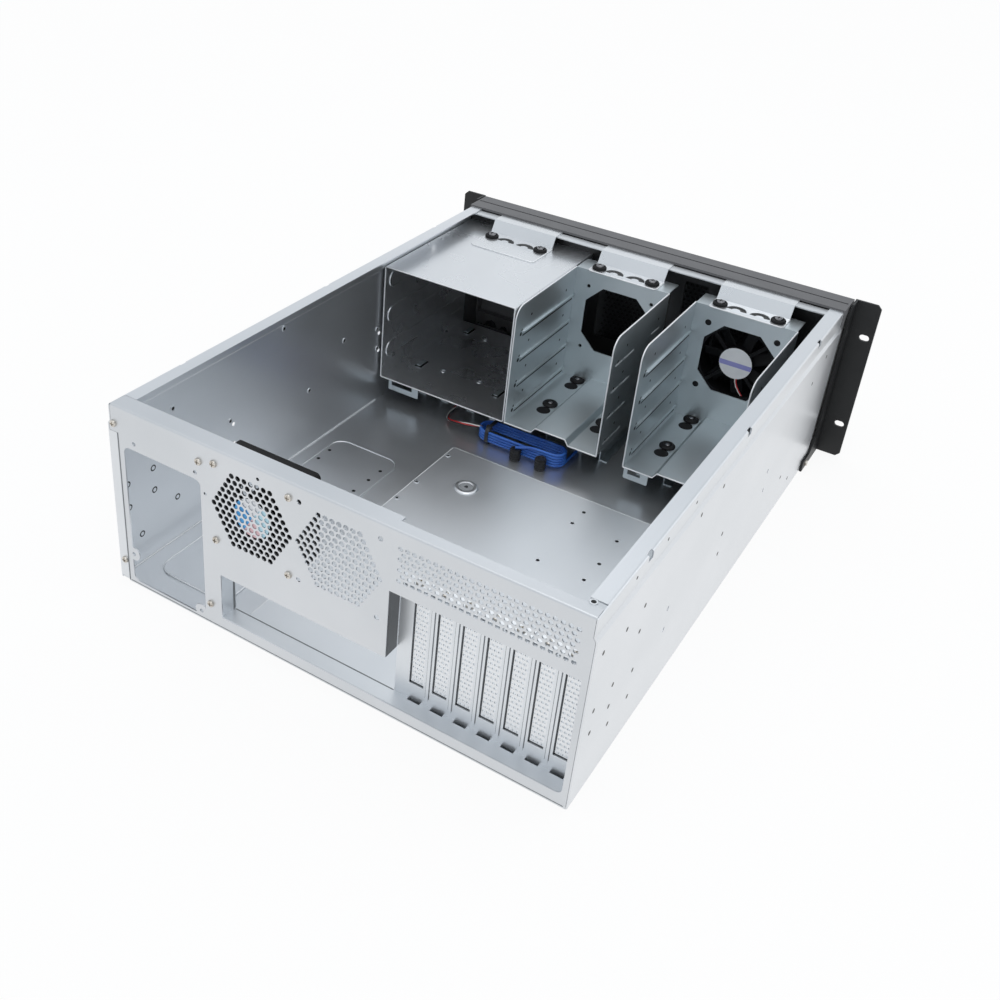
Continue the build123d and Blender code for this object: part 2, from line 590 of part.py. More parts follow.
def make_drive_cage(x):
    """Cage for a stack of narrow drives, with a fan window in its front plate."""
    y = (Y_DRIVE_FRONT, Y_MOUTH)
    cage = along_y(drive_section(x), *y)
    side = rect(y, (CAGE_BASE_Z, CAGE_TOP_Z))
    side = fillet(side.vertices().group_by(Axis.X)[-1].sort_by(Axis.Y)[-1], WALL_CORNER)
    cage &= along_x(side, x - DRIVE_WIDTH / 2, x + DRIVE_WIDTH / 2)
    inner = DRIVE_WIDTH / 2 - CAGE_SHEET
    plate = rect((x - inner, x + inner), (CAGE_BASE_Z + CAGE_SHEET + CHANNEL_HEIGHT, CAGE_TOP_Z))
    window = chamfer(Rectangle(WINDOW_SIZE, WINDOW_SIZE).vertices(), WINDOW_CORNER)
    plate -= Pos(x, WINDOW_Z) * window
    plate -= [Pos(*hole) * screw_hole() for hole in fan_holes(x, WINDOW_Z)]
    cage += along_y(plate, Y_DRIVE_FRONT, Y_DRIVE_FRONT + CAGE_SHEET)
    flange = slab((x - inner, x + inner), (Y_DRIVE_FRONT - DRIVE_FLANGE, Y_DRIVE_FRONT + CAGE_SHEET),
                  (CAGE_TOP_Z - CAGE_SHEET, CAGE_TOP_Z))
    for screw_x in hanger_screw_xs(x):
        flange -= along_z(Pos(screw_x, HANGER_SCREW_Y) * screw_hole(), CAGE_TOP_Z - CAGE_SHEET, CAGE_TOP_Z)
    cage += flange
    for level in range(RIB_COUNT):
        z = CAGE_BASE_Z + RIB_BASE + level * RIB_PITCH
        for hand in (-1, 1):
            wall = x + hand * inner
            edge = (wall - hand * RIB_SHELF, z)
            shelf = make_face(Polyline((wall, z), edge, (wall, z - RIB_DROP), close=True))
            cage += along_y(shelf, Y_DRIVE_FRONT + RIB_DROP, Y_DRIVE_FRONT + RIB_DROP + RIB_LENGTH)
    for spot_x in (x - STAND_OFFSET, x + STAND_OFFSET):
        for reach in GROMMET_FROM_MOUTH:
            keyhole = Pos(spot_x, Y_MOUTH - reach) * RegularPolygon(KEYHOLE_R, ROUND_SIDES)
            keyhole += Pos(spot_x, Y_MOUTH - reach + KEYHOLE_REACH / 2) * Rectangle(KEYHOLE_R, KEYHOLE_REACH)
            keyhole += Pos(spot_x, Y_MOUTH - reach + KEYHOLE_REACH) * RegularPolygon(KEYHOLE_R, ROUND_SIDES)
            cage -= along_z(keyhole, CAGE_BASE_Z - FIT, CAGE_BASE_Z + CAGE_SHEET + FIT)
    return cage


def make_stand(x):
    """Hat-shaped runner that carries a cage over the floor."""
    leg = STAND_WIDTH / 2
    hat = rect((-leg, leg), (FLOOR_Z, CAGE_BASE_Z))
    hat += rect((-leg - STAND_FOOT, leg + STAND_FOOT), (FLOOR_Z, FLOOR_Z + CAGE_SHEET))
    hat -= rect((CAGE_SHEET - leg, leg - CAGE_SHEET), (FLOOR_Z, CAGE_BASE_Z - CAGE_SHEET))
    front = Y_MOUTH - STAND_FROM_MOUTH - STAND_LENGTH
    return along_y(Pos(x, 0) * hat, front, front + STAND_LENGTH)


def make_grommets():
    """Rubber grommets that clamp the narrow cages to their stands."""
    spots = [(x + side * STAND_OFFSET, Y_MOUTH - reach) for x in X_DRIVES.values()
             for side in (-1, 1) for reach in GROMMET_FROM_MOUTH]
    grommet = prism(KEYHOLE_R - FIT, 0, CAGE_SHEET)
    grommet += prism(GROMMET_R, CAGE_SHEET, CAGE_SHEET + GROMMET_HEIGHT)
    return [Pos(x, y, CAGE_BASE_Z) * grommet for x, y in spots]


def make_hanger(x, reach):
    """Joggled plate that ties a cage top to the rail of the front wall."""
    rail = RAIL_TOP_Z + SHEET / 2
    seat = CAGE_TOP_Z + SHEET / 2
    bend_y = Y_BODY + RAIL_FLANGE + HANGER_CLEAR
    points = [(Y_BODY, rail), (bend_y, rail), (bend_y + HANGER_SLOPE, seat), (Y_BODY + reach, seat)]
    plate = along_x(folded(points), x - HANGER_WIDTH / 2, x + HANGER_WIDTH / 2)
    for screw_x in hanger_screw_xs(x):
        plate -= along_z(Pos(screw_x, HANGER_SCREW_Y) * screw_hole(), CAGE_TOP_Z, CAGE_TOP_Z + SHEET)
    return plate


def hanger_spots():
    """Where the washers of the hanger screws sit."""
    cages = [X_BAY, *X_DRIVES.values()]
    return [(x, HANGER_SCREW_Y, CAGE_TOP_Z + SHEET) for cage in cages for x in hanger_screw_xs(cage)]


def make_washers():
    """Rubber washers under the hanger screws."""
    ring = along_z(RegularPolygon(WASHER_R, ROUND_SIDES) - screw_hole(), 0, WASHER_HEIGHT)
    return [Pos(*spot) * ring for spot in hanger_spots()]


def make_hanger_screws():
    """Screws that hold the hangers down."""
    screw = Pos(0, 0, WASHER_HEIGHT) * pan_screw(WASHER_HEIGHT + SHANK_LENGTH)
    return [Pos(*spot) * screw for spot in hanger_spots()]


def make_front_wall():
    """Sheet across the front, with openings for drives, air and leads, and a rail along its top."""
    side = INSIDE - FIT
    neck = STRIP_FACE - FIT
    top = RAIL_TOP_Z - SHEET / 2
    face = rect((-side, side), (SHEET + BEND, STRIP_FOOT_Z - FIT))
    face += rect((-neck, neck), (SHEET + BEND, top))
    bay = BAY_WIDTH / 2 - CAGE_SHEET
    face -= rect((X_BAY - bay, X_BAY + bay), (CAGE_BASE_Z + CAGE_SHEET, CAGE_TOP_Z - CAGE_SHEET))
    for x in X_DRIVES.values():
        face -= rect((x - FAN_SIZE / 2, x + FAN_SIZE / 2), (WINDOW_Z - FAN_SIZE / 2, WINDOW_Z + FAN_SIZE / 2))
    gap = (X_DRIVES["centre"] - DRIVE_WIDTH / 2, X_DRIVES["right"] + DRIVE_WIDTH / 2)
    face -= rect((gap[0] - SHEET, gap[1] + SHEET), (CAGE_BASE_Z, CAGE_TOP_Z))
    face -= [Pos(x, LEAD_HOLE_Z) * RegularPolygon(LEAD_HOLE_R, ROUND_SIDES) for x in LEAD_HOLE_X]
    wall = along_y(face, Y_BODY, Y_BODY + SHEET)
    turn = (Y_BODY + SHEET / 2, top)
    fold = folded([(turn[0], top - 2 * BEND), turn, (Y_BODY + RAIL_FLANGE, top)])
    return wall + along_x(fold, -neck, neck)


def make_bezel():
    """Moulded front cover, hollow from behind."""
    half = HALF - BEZEL_SIDE_GAP
    z = (FIT, PANEL_HEIGHT - FIT)
    shell = chamfer(slab((-half, half), (Y_FRONT, Y_BODY), z).edges().group_by(Axis.Y)[0], BEND)
    shell -= slab((-half + BEZEL_WALL, half - BEZEL_WALL), (Y_FRONT + BEZEL_FACE, Y_BODY),
                  (z[0] + BEZEL_WALL, z[1] - BEZEL_WALL))
    bay = bay_opening()
    face = rect(*bay)
    first = -(INSIDE - GRILLE_FROM_WALL)
    pitch = (bay[0][0] - GRILLE_FROM_BAY - first) / (GRILLE_SLOTS - 1)
    for step in range(GRILLE_SLOTS):
        x = first + step * pitch
        face += rect((x - GRILLE_SLOT_WIDTH / 2, x + GRILLE_SLOT_WIDTH / 2),
                     (GRILLE_FOOT_Z, PANEL_HEIGHT - GRILLE_FROM_TOP))
    for x, radius in ((POWER_X, POWER_R), (RESET_X, RESET_R)):
        face += Pos(x, CONTROL_Z) * RegularPolygon(radius + BUTTON_PLAY, 2 * ROUND_SIDES)
    face += [Pos(x, CONTROL_Z) * RegularPolygon(LAMP_R + SHAFT_PLAY, ROUND_SIDES) for x in LAMP_X]
    face += [Pos(x, CONTROL_Z) * Rectangle(SOCKET_WIDTH, SOCKET_HEIGHT) for x in SOCKET_X]
    return shell - along_y(face, Y_FRONT, Y_FRONT + BEZEL_FACE)


def bay_opening():
    """X and Z ranges of the opening for the bay covers."""
    height = BAY_COVER_COUNT * BAY_COVER_HEIGHT
    middle_z = (CAGE_BASE_Z + CAGE_TOP_Z) / 2
    half_x = BAY_WIDTH / 2 - BAY_COVER_INSET + FIT
    half_z = height / 2 + FIT
    return (X_BAY - half_x, X_BAY + half_x), (middle_z - half_z, middle_z + half_z)


def make_bay_cover(level):
    """Snap-in blank for one wide bay, with a finger groove."""
    x, z = bay_opening()
    low = z[0] + FIT + level * BAY_COVER_HEIGHT
    wide = (x[0] + FIT, x[1] - FIT)
    tall = (low + FIT / 2, low + BAY_COVER_HEIGHT - FIT / 2)
    cover = slab(wide, (Y_FRONT + FIT, Y_FRONT + BAY_COVER_DEPTH), tall)
    cover -= slab((wide[0] + BAY_COVER_WALL, wide[1] - BAY_COVER_WALL),
                  (Y_FRONT + BAY_COVER_WALL + 2 * FIT, Y_FRONT + BAY_COVER_DEPTH),
                  (tall[0] + BAY_COVER_WALL, tall[1] - BAY_COVER_WALL))
    groove_x = (wide[0] + BAY_COVER_GRIP, wide[1] - BAY_COVER_GRIP)
    groove_z = (tall[0] + BAY_COVER_GRIP, tall[0] + 2 * BAY_COVER_GRIP)
    groove = slab(groove_x, (Y_FRONT, Y_FRONT + BAY_COVER_WALL / 2), groove_z)
    return cover - groove


def make_button(x, radius):
    """Push button with a collar behind the bezel that keeps it in."""
    back_y = Y_FRONT + BEZEL_FACE + BUTTON_PLAY
    cap_length = BEZEL_FACE + BUTTON_PLAY
    cap = prism(radius, 0, cap_length, 2 * ROUND_SIDES)
    collar = prism(radius + BUTTON_COLLAR, -BUTTON_COLLAR, 0)
    stem = prism(radius / 2, -BUTTON_COLLAR - BUTTON_STEM, -BUTTON_COLLAR)
    return Pos(x, back_y, CONTROL_Z) * Rot(90, 0, 0) * (cap + collar + stem)


def make_switch_holder():
    """Bracket behind the bezel that carries the two switches."""
    stem_end = Y_FRONT + BEZEL_FACE + BUTTON_PLAY + BUTTON_COLLAR + BUTTON_STEM
    face_y = stem_end + BUTTON_TRAVEL + FIT
    x = (RESET_X - 2 * POWER_R, POWER_X + 2 * POWER_R)
    z = (FIT + BEZEL_WALL, CONTROL_Z + POWER_R)
    return slab(x, (face_y, face_y + SHEET), z) + slab(x, (face_y, Y_BODY), (z[0], z[0] + SHEET))


def make_lamps():
    """Round lenses for the lamps on the front."""
    length = BEZEL_FACE + 2 * FIT
    lens = prism(LAMP_R, -length, 0)
    return [toward_front(x, Y_FRONT + FIT + length, CONTROL_Z) * lens for x in LAMP_X]


def make_sockets():
    """Two flat sockets on the front, each a metal shell around a tongue."""
    wide, tall = SOCKET_WIDTH / 2, SOCKET_HEIGHT / 2
    shell = rect((-wide, wide), (-tall, tall)) - rect((-wide + SOCKET_WALL, wide - SOCKET_WALL),
                                                      (-tall + SOCKET_WALL, tall - SOCKET_WALL))
    y = (Y_FRONT + FIT, Y_FRONT + SOCKET_DEPTH)
    tongue = rect((-wide + 2 * SOCKET_WALL, wide - 2 * SOCKET_WALL), (0, 2 * SOCKET_WALL))
    back = rect((-wide, wide), (-tall, tall))
    socket = along_y(shell, *y) + along_y(back, y[1], y[1] + SOCKET_WALL)
    socket += along_y(tongue, Y_FRONT + 2 * SOCKET_WALL, y[1])
    return [Pos(x, 0, CONTROL_Z) * socket for x in SOCKET_X]


def make_ear(side):
    """Rack ear: a plate with two slots and a flange along the side of the case."""
    tip = RACK_WIDTH / 2
    outline = chamfer(rect((HALF, tip), (0, PANEL_HEIGHT)).vertices().group_by(Axis.X)[-1], EAR_CORNER)
    slot = SlotOverall(EAR_SLOT_LENGTH, 2 * EAR_SLOT_R)
    slots = [Pos(tip - EAR_HOLE_FROM_TIP, z) * slot for z in EAR_HOLE_Z]
    plate = along_y(outline - slots, Y_FRONT, Y_FRONT + EAR_SHEET)
    edge = Y_FRONT + EAR_FLANGE
    foot = Y_FRONT + EAR_FOOT
    flange = make_face(Polyline(
        (Y_FRONT, 0), (foot, 0), (foot, EAR_FOOT_HEIGHT), (edge + EAR_STEP, EAR_FOOT_HEIGHT),
        (edge, EAR_FOOT_HEIGHT + EAR_STEP), (edge, PANEL_HEIGHT - EAR_STEP),
        (edge - EAR_STEP / 2, PANEL_HEIGHT), (Y_FRONT, PANEL_HEIGHT), close=True,
    ))
    flange -= Pos(Y_FRONT + EAR_SCREW_FROM_FRONT, EAR_FOOT_HEIGHT / 2) * screw_hole()
    ear = plate + along_x(flange, HALF, HALF + EAR_SHEET)
    return ear if side > 0 else mirror(ear, Plane.YZ)


def make_ear_screws():
    """Screws through the feet of the ears into the side walls."""
    y = Y_FRONT + EAR_SCREW_FROM_FRONT
    z = EAR_FOOT_HEIGHT / 2
    screw = pan_screw(EAR_SHEET)
    right = Pos(HALF + EAR_SHEET, y, z) * Rot(0, 90, 0) * screw
    return [right, mirror(right, Plane.YZ)]


def make_fan_frame():
    """Fan housing seen from its strut side, which faces +Y at y = 0."""
    square = chamfer(Rectangle(FAN_SIZE, FAN_SIZE).vertices(), FAN_CORNER)
    square -= RegularPolygon(FAN_BORE_R, FAN_BORE_SIDES)
    square -= [Pos(*hole) * screw_hole() for hole in fan_holes(0, 0)]
    frame = along_y(square, -FAN_DEPTH, 0)
    base = RegularPolygon(MOTOR_BASE_R, 2 * ROUND_SIDES)
    arm_length = FAN_BORE_R - MOTOR_BASE_R + STRUT_WIDTH
    arm = Pos((MOTOR_BASE_R + FAN_BORE_R) / 2, 0) * Rectangle(arm_length, STRUT_WIDTH)
    for turn in range(4):
        base += Rot(0, 0, 45 + 90 * turn) * arm
    base -= RegularPolygon(SHAFT_R + SHAFT_PLAY, ROUND_SIDES, major_radius=False)
    return frame + along_y(base, -MOTOR_BASE, 0)


def make_fan_rotor():
    """Hub with cambered blades and a shaft that runs in the motor base."""
    hub_y = -MOTOR_BASE - ROTOR_GAP
    rotor = along_y(RegularPolygon(HUB_R, 2 * ROUND_SIDES), hub_y - HUB_LENGTH, hub_y)
    blade = Pos(0, hub_y - HUB_LENGTH / 2, 0) * make_blade()
    for turn in range(BLADE_COUNT):
        rotor += Rot(0, 360 / BLADE_COUNT * turn, 0) * blade
    return rotor + along_y(RegularPolygon(SHAFT_R, ROUND_SIDES), hub_y, -FIT)


def make_blade():
    """One blade: an arched section, pulled outward along X."""
    front = Vector(-BLADE_AXIAL / 2, -BLADE_SWEEP / 2)
    crown = Vector(BLADE_CAMBER, -BLADE_CAMBER)
    skin = Vector(0, BLADE_THICK / 2)
    run = [front, crown, -front]
    section = make_face(Polyline(*[p + skin for p in run], *[p - skin for p in reversed(run)], close=True))
    root = Plane(origin=(BLADE_ROOT_R, 0, 0), x_dir=(0, 1, 0), z_dir=(1, 0, 0))
    return extrude(root * section, amount=BLADE_TIP_R - BLADE_ROOT_R)


def rear_fan_place():
    return Pos(X_FANS[0], Y_REAR - SHEET, Z_FANS)


def front_fan_place():
    return Pos(X_DRIVES["right"], Y_DRIVE_FRONT, WINDOW_Z)


def make_fan_screws():
    """Screws through the rear panel into the rear fan."""
    return [toward_front(x, Y_REAR, z) * pan_screw(SHANK_LENGTH) for x, z in fan_holes(X_FANS[0], Z_FANS)]


def make_fan_pins():
    """Push pins that hold the front fan to its cage."""
    seat = Y_DRIVE_FRONT + CAGE_SHEET
    pin = pan_screw(SHANK_LENGTH, CAGE_SHEET)
    return [toward_front(x, seat, z) * pin for x, z in fan_holes(X_DRIVES["right"], WINDOW_Z)]


def make_rear_screws():
    """Screws on the rear panel."""
    panel, strip = rear_screw_places()
    return [toward_front(x, Y_REAR, z) * pan_screw(SHANK_LENGTH) for x, z in panel + strip]


def make_lead(points, radius):
    """A round lead whose bends are as wide as its runs allow."""
    path = [Vector(*point) for point in points]
    radii = []
    for before, here, after in zip(path, path[1:], path[2:]):
        turn = radians((here - before).get_angle(after - here))
        shorter = min((here - before).length, (after - here).length)
        radii.append(0.45 * shorter / (sin(turn / 2) / cos(turn / 2)))
    print("lead bend radii", [round(r) for r in radii])
    line = FilletPolyline(*path, radius=radii)
    section = Plane(origin=line @ 0, z_dir=line % 0) * RegularPolygon(radius, LEAD_SIDES)
    tube = sweep(section, path=line)
    print("lead volume", round(tube.volume), "section times length", round(section.area * line.length))
    return tube


def hank_place():
    """Middle of the folded lead, which lies half under the mouth of the centre cage."""
    x = X_DRIVES["centre"] + HANK_SIDE
    y = Y_MOUTH - HANK_UNDER + HANK_SIZE[1] / 2
    z = FLOOR_Z + FIT + TIE_THICK + HANK_SIZE[2] / 2
    return x, y, z


def make_hank():
    """Outer form of the folded lead."""
    length, width, height = HANK_SIZE
    form = chamfer(Box(length, width, height).edges().filter_by(Axis.X), HANK_CORNER)
    return Pos(*hank_place()) * form


def make_tie():
    """Strap around the folded lead."""
    length, width, height = HANK_SIZE
    inner = chamfer(Rectangle(width, height).vertices(), HANK_CORNER)
    section = offset(inner, amount=TIE_THICK, kind=Kind.INTERSECTION) - inner
    end = length / 2 - TIE_FROM_END
    return Pos(*hank_place()) * along_x(section, end - TIE_WIDTH / 2, end + TIE_WIDTH / 2)


def make_plugs():
    """Two plugs at the end of the folded lead."""
    x, y, _ = hank_place()
    body = prism(PLUG_R, 0, PLUG_HEIGHT)
    return [Pos(x + step, y + HANK_SIZE[1] / 2 + PLUG_R, FLOOR_Z + FIT) * body for step in PLUG_STEPS]


def panel_lead_route():
    """Corner points of the flat lead, from the front wall to the folded part."""
    x, y, z = hank_place()
    end = x - HANK_SIZE[0] / 2 + LEAD_R
    return [
        (LEAD_HOLE_X[1], Y_BODY + SHEET, LEAD_HOLE_Z), (end + 23, Y_MOUTH - 140, 13),
        (end + 14, Y_MOUTH - 104, 7), (end + 6, Y_MOUTH - 70, 5), (end, Y_MOUTH - 40, z),
        (end, y - HANK_SIZE[1] / 2, z),
    ]


def switch_lead_route():
    """Corner points of the thin leads, from the front wall under the wide cage to the folded part."""
    x, y, z = hank_place()
    return [
        (LEAD_HOLE_X[0], Y_BODY + SHEET, LEAD_HOLE_Z), (X_BAY - 1, Y_MOUTH - 134, 12),
        (X_BAY + 3, Y_MOUTH - 90, 6), (X_BAY - 1, Y_MOUTH - 47, 5), (X_BAY - 10, Y_MOUTH - 8, 7),
        (X_BAY - 34, y, z), (x + HANK_SIZE[0] / 2, y, z),
    ]


def fan_lead_route():
    """Corner points of the front fan's lead, under its cage and onto the tray."""
    fan_x = X_DRIVES["right"]
    fan_y = Y_DRIVE_FRONT - FAN_DEPTH / 4
    fan_z = WINDOW_Z - FAN_SIZE / 2
    rest_z = TRAY_TOP_Z + FIT + FAN_PLUG[2] / 2
    return [
        (fan_x + 8, fan_y, fan_z), (fan_x + 8, fan_y, fan_z - 23.5), (fan_x + 6, fan_y - 8.75, 24),
        (fan_x + 4, Y_DRIVE_FRONT + 7, 9), (fan_x + 2, Y_MOUTH - 84, 4), (fan_x - 4, Y_MOUTH - 42, 5),
        (fan_x - 9, Y_MOUTH - 6, 6), (fan_x - 8, Y_MOUTH + 26, rest_z), (fan_x - 8, Y_MOUTH + 54, rest_z),
    ]


def make_fan_plug():
    """Small housing on the end of the fan's lead."""
    x, y, z = fan_lead_route()[-1]
    wide, long, tall = FAN_PLUG
    return Pos(x, y + long / 2, z) * Box(wide, long, tall)


def write(name, shape):
    """Writes one sub-part, or a group of like pieces, to its own file."""
    if isinstance(shape, list):
        shape = Compound(children=shape)
    export_step(shape, f"parts/{name}.step")


def main():
    os.makedirs("parts", exist_ok=True)
    write("chassis_tub", make_tub())
    write("rear_panel", make_rear_panel())
    write("slot_panel", make_slot_panel())
    for index, x in enumerate(X_SLOTS, start=1):
        write(f"slot_cover_{index}", make_slot_cover(x))
    write("slot_cover_screws", make_slot_screws())
    write("board_tray", make_tray())
    write("bay_cage", make_bay_cage())
    cages = [X_BAY, *X_DRIVES.values()]
    for place, x in X_DRIVES.items():
        write(f"drive_cage_{place}", make_drive_cage(x))
    for index, x in enumerate(cages):
        for side, hand in (("a", -1), ("b", 1)):
            write(f"cage_stand_{index + 1}{side}", make_stand(x + hand * STAND_OFFSET))
    write("cage_grommets", make_grommets())
    for name, x in zip(("left", "centre", "right"), cages):
        reach = HANGER_BAY_REACH if x == X_BAY else HANGER_DRIVE_REACH
        write(f"hanger_{name}", make_hanger(x, reach))
    write("hanger_washers", make_washers())
    write("hanger_screws", make_hanger_screws())
    write("front_wall", make_front_wall())
    write("bezel", make_bezel())
    for level in range(BAY_COVER_COUNT):
        write(f"bay_cover_{level + 1}", make_bay_cover(level))
    write("power_button", make_button(POWER_X, POWER_R))
    write("reset_button", make_button(RESET_X, RESET_R))
    write("switch_holder", make_switch_holder())
    write("front_lamps", make_lamps())
    write("front_sockets", make_sockets())
    write("rack_ear_left", make_ear(1))
    write("rack_ear_right", make_ear(-1))
    write("ear_screws", make_ear_screws())
    for name, place in (("rear", rear_fan_place()), ("front", front_fan_place())):
        write(f"{name}_fan_frame", place * make_fan_frame())
        write(f"{name}_fan_rotor", place * make_fan_rotor())
    write("rear_fan_screws", make_fan_screws())
    write("front_fan_pins", make_fan_pins())
    write("rear_panel_screws", make_rear_screws())
    write("panel_lead", make_lead(panel_lead_route(), LEAD_R))
    write("switch_lead", make_lead(switch_lead_route(), LEAD_R))
    write("fan_lead", make_lead(fan_lead_route(), FAN_LEAD_R))
    write("lead_hank", make_hank())
    write("lead_tie", make_tie())
    write("lead_plugs", make_plugs())
    write("fan_plug", make_fan_plug())


main()
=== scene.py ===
from math import atan2, cos, pi, radians, sin

import bmesh
import bpy
from mathutils import Matrix, Vector


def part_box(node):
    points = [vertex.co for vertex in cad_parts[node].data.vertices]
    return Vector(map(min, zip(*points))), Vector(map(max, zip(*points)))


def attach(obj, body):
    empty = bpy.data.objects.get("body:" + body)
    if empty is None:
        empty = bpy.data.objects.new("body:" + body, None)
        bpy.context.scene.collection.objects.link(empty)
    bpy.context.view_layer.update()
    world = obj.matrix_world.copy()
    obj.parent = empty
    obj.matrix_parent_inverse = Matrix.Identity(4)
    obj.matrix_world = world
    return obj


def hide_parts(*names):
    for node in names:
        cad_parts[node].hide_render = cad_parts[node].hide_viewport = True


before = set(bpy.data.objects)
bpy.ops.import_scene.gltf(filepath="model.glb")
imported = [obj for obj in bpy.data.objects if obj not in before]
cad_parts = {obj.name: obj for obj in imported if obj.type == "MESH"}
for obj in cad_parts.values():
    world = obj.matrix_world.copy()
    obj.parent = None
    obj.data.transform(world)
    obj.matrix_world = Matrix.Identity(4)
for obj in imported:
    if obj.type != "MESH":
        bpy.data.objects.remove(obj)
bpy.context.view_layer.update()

# Sizes in millimetres, in the CAD frame
MM = 0.001
SHEET = 1.2
AXIS_R = 0.01

# Marks laid on a face: their thickness, their lift off it and their distance from an edge
FILM = 0.1
FILM_LIFT = 0.06
LINE_INSET = 2.0

# Camera
FOCAL_PIXELS = 1164.04
PRINCIPAL_PIXEL = 420.0
IMAGE_PIXELS = 1000.0
SENSOR_WIDTH = 36.0
CAMERA_PLACE = (-395.99, 842.62, 653.73)
CAMERA_AZIMUTH = 210.7
CAMERA_ELEVATION = 31.34
CAMERA_ROLL = 4.04
CLIP_START = 0.01

# Stage: the floor, and the room's shares of white by the height of a direction, from level to straight up
FLOOR_HALF = 12.0
FLOOR_GAP = 0.2
PAPER_SHARE = 0.9
ROOM_SHADES = [(0.0, 0.95), (0.4, 1.0), (0.49, 0.68), (0.63, 0.69), (0.74, 1.0), (1.0, 0.95)]
BRIGHT_TINT = (0.955, 0.975, 1.0)
DIM_TINT = (0.86, 0.93, 1.0)
DIM_BELOW = 0.7

# Lamps: name, place, target and size in metres, power in watts
LAMPS = [
    ("overhead", (-0.2, 0.3, 1.9), (0, 0, 0.1), (1.2, 1.2), 4.5),
    ("softbox", (0.5, -1.2, 1.4), (-0.1, 0.2, 0), (0.5, 0.6), 0.6),
    ("side_panel", (-1.35, -1.2, 1.1), (0, 0.1, 0), (1.1, 0.8), 1.6),
]

# Rear panel
FOLD_R = 2.1
SIDE_STEP = 2.0
STRIP_SEAM = 8.0
STRIP_TOP = 150.3
JOGGLE_Z = (155.7, 158.7)
FLANGE_WIDE = 16.5
FLANGE_NARROW = 11.0
IO_WIDTH = 158.75
IO_HEIGHT = 44.45
LINTEL_DROP = 55.0
RECESS_CORNER = 5.0
PSU_CORNER = 6.0
PSU_TAB_R = 6.5
PSU_OPEN_X = (119.0, 199.5)
PSU_OPEN_Z = (4.3, 139.8)
PSU_HOLES = [(123.9, 8.0), (123.9, 146.0), (187.9, 146.0), (197.9, 32.0)]
PSU_HOLE_R = 1.9
SPARE_GRILLE_ASIDE = 81.0
GRILLE_RINGS = 6
GRILLE_PITCH = 6.1
GRILLE_HOLE_R = 2.45
FAN_HOLES = 71.5
FAN_HOLE_R = 2.2
VENT_COLUMNS = 25
VENT_ROWS = 7
VENT_PITCH = (5.7, 4.7)
VENT_HOLE_R = 2.05
VENT_Z = 146.5
SMALL_HOLES = [(213.0, 129.0), (105.5, 160.5), (114.4, 130.0), (106.0, 89.5), (62.0, 165.5)]
SMALL_HOLE_R = 1.5
SEAM_WIDTH = 1.1
SEAM_FOOT = 1.0
FOOT_LINE_Z = (1.3, 2.0)
LEDGE_LINE_Y = (1.5, 2.6)
CORNER_LINE_Y = (0.5, 3.0)
RETURN_CLEAR = 1.0
RETURN_LIFT = 0.12

# Slot covers
COVER_HOLE_R = 1.3
COVER_HOLE_PITCH = (3.4, 4.3)
COVER_HOLE_COLUMNS = 4
COVER_HOLE_ROWS = 22
COVER_FIELD_FOOT = 15.0
COVER_FIELD = 96.0
COVER_SHEET = 0.9
COVER_TAIL_WIDTH = 10.0
COVER_TAIL = 6.0
SLOT_INDEXES = range(1, 8)
SLOT_PITCH = 20.32
SLOT_WINDOW = 12.7
SLOT_Z = (27.0, 123.0)
RIB_WIDTH = 2.4
# Painted shadow strips beside the slot windows: their width and lift
SHADOW_GAP = 1.1
SHADOW_GAP_LIFT = 0.08
# Painted shade lines along the ribs' sides: their width, and how far below the windows they reach
RIB_SHADE = 0.6
RIB_SHADE_DROP = 8.0

# Screws: radius and height of the head, radius and length of the shank
SMALL_SCREW = (3.2, 2.0, 1.7, 6.0)
WASHER_SCREW = (4.2, 2.4, 1.7, 7.0)
PANEL_SCREW_INSET = (3.2, 3.1)
PANEL_SCREW_X = 119.8

# Shares of a screw's head: its profile, and the wing, half width and floor of its cross
HEAD_CURVE = [(1.0, 0.0), (1.0, 0.35), (0.9, 0.75), (0.6, 0.97), (0.0, 1.0)]
CROSS_SHARES = (0.62, 0.13, 0.45)

# Leads: the routes repeat those of the CAD model
LEAD_R = 1.5
FAN_LEAD_R = 1.4
PANEL_ROUTE = [(14, -262.8, 15), (8.5, -228, 13), (-0.5, -192, 7), (-8.5, -158, 5), (-14.5, -128, 5.2),
               (-14.5, -104, 5.2)]
SWITCH_ROUTE = [(134, -262.8, 15), (133, -222, 12), (137, -178, 6), (133, -135, 5), (128, -88, 7),
                (102, -84, 13), (80, -87, 17)]
FAN_ROUTE = [(-122.9, -227.25, 67.5), (-122.9, -227.25, 44), (-124.9, -236, 24), (-126.9, -214, 9),
             (-128.9, -172, 4), (-134.9, -130, 5), (-139.9, -94, 6), (-138.9, -62, 10), (-138.9, -34, 10)]
PLUG_RUN = [(12, -81, 18.2), (22, -79, 17.6), (28, -75.5, 16.4), (32.5, -73.5, 16.1)]
HANK_TURNS = 4
HANK_LAST_CORNERS = 3
HANK_FOOT_Z = 5.2
HANK_CLIMB = 3.1
WIRE_SHARE = 0.46
WIRE_TWIST = 0.12
PLUG_RIBS = 4
PLUG_RIB = 0.6
PLUG_BORE_SHARES = (0.6, 0.55)
PLUG_BORE_DEPTH = 1.0
TIE_CORNER = 6.0
TIE_SHEET = 1.0
TIE_LOCK_HALF = (3.0, 2.2)
TIE_LOCK_HEIGHT = 3.4
TIE_LOCK_CORNER = 0.8
TIE_LOCK_INSET = (6.0, 0.6)
FAN_PLUG_CORNER = 0.8
FAN_PLUG_RIB_HALF = (0.6, 4.0)
FAN_PLUG_RIB_HEIGHT = 1.0
FAN_PLUG_RIB_CORNER = 0.4
FAN_PLUG_RIB_ASIDE = 2.2

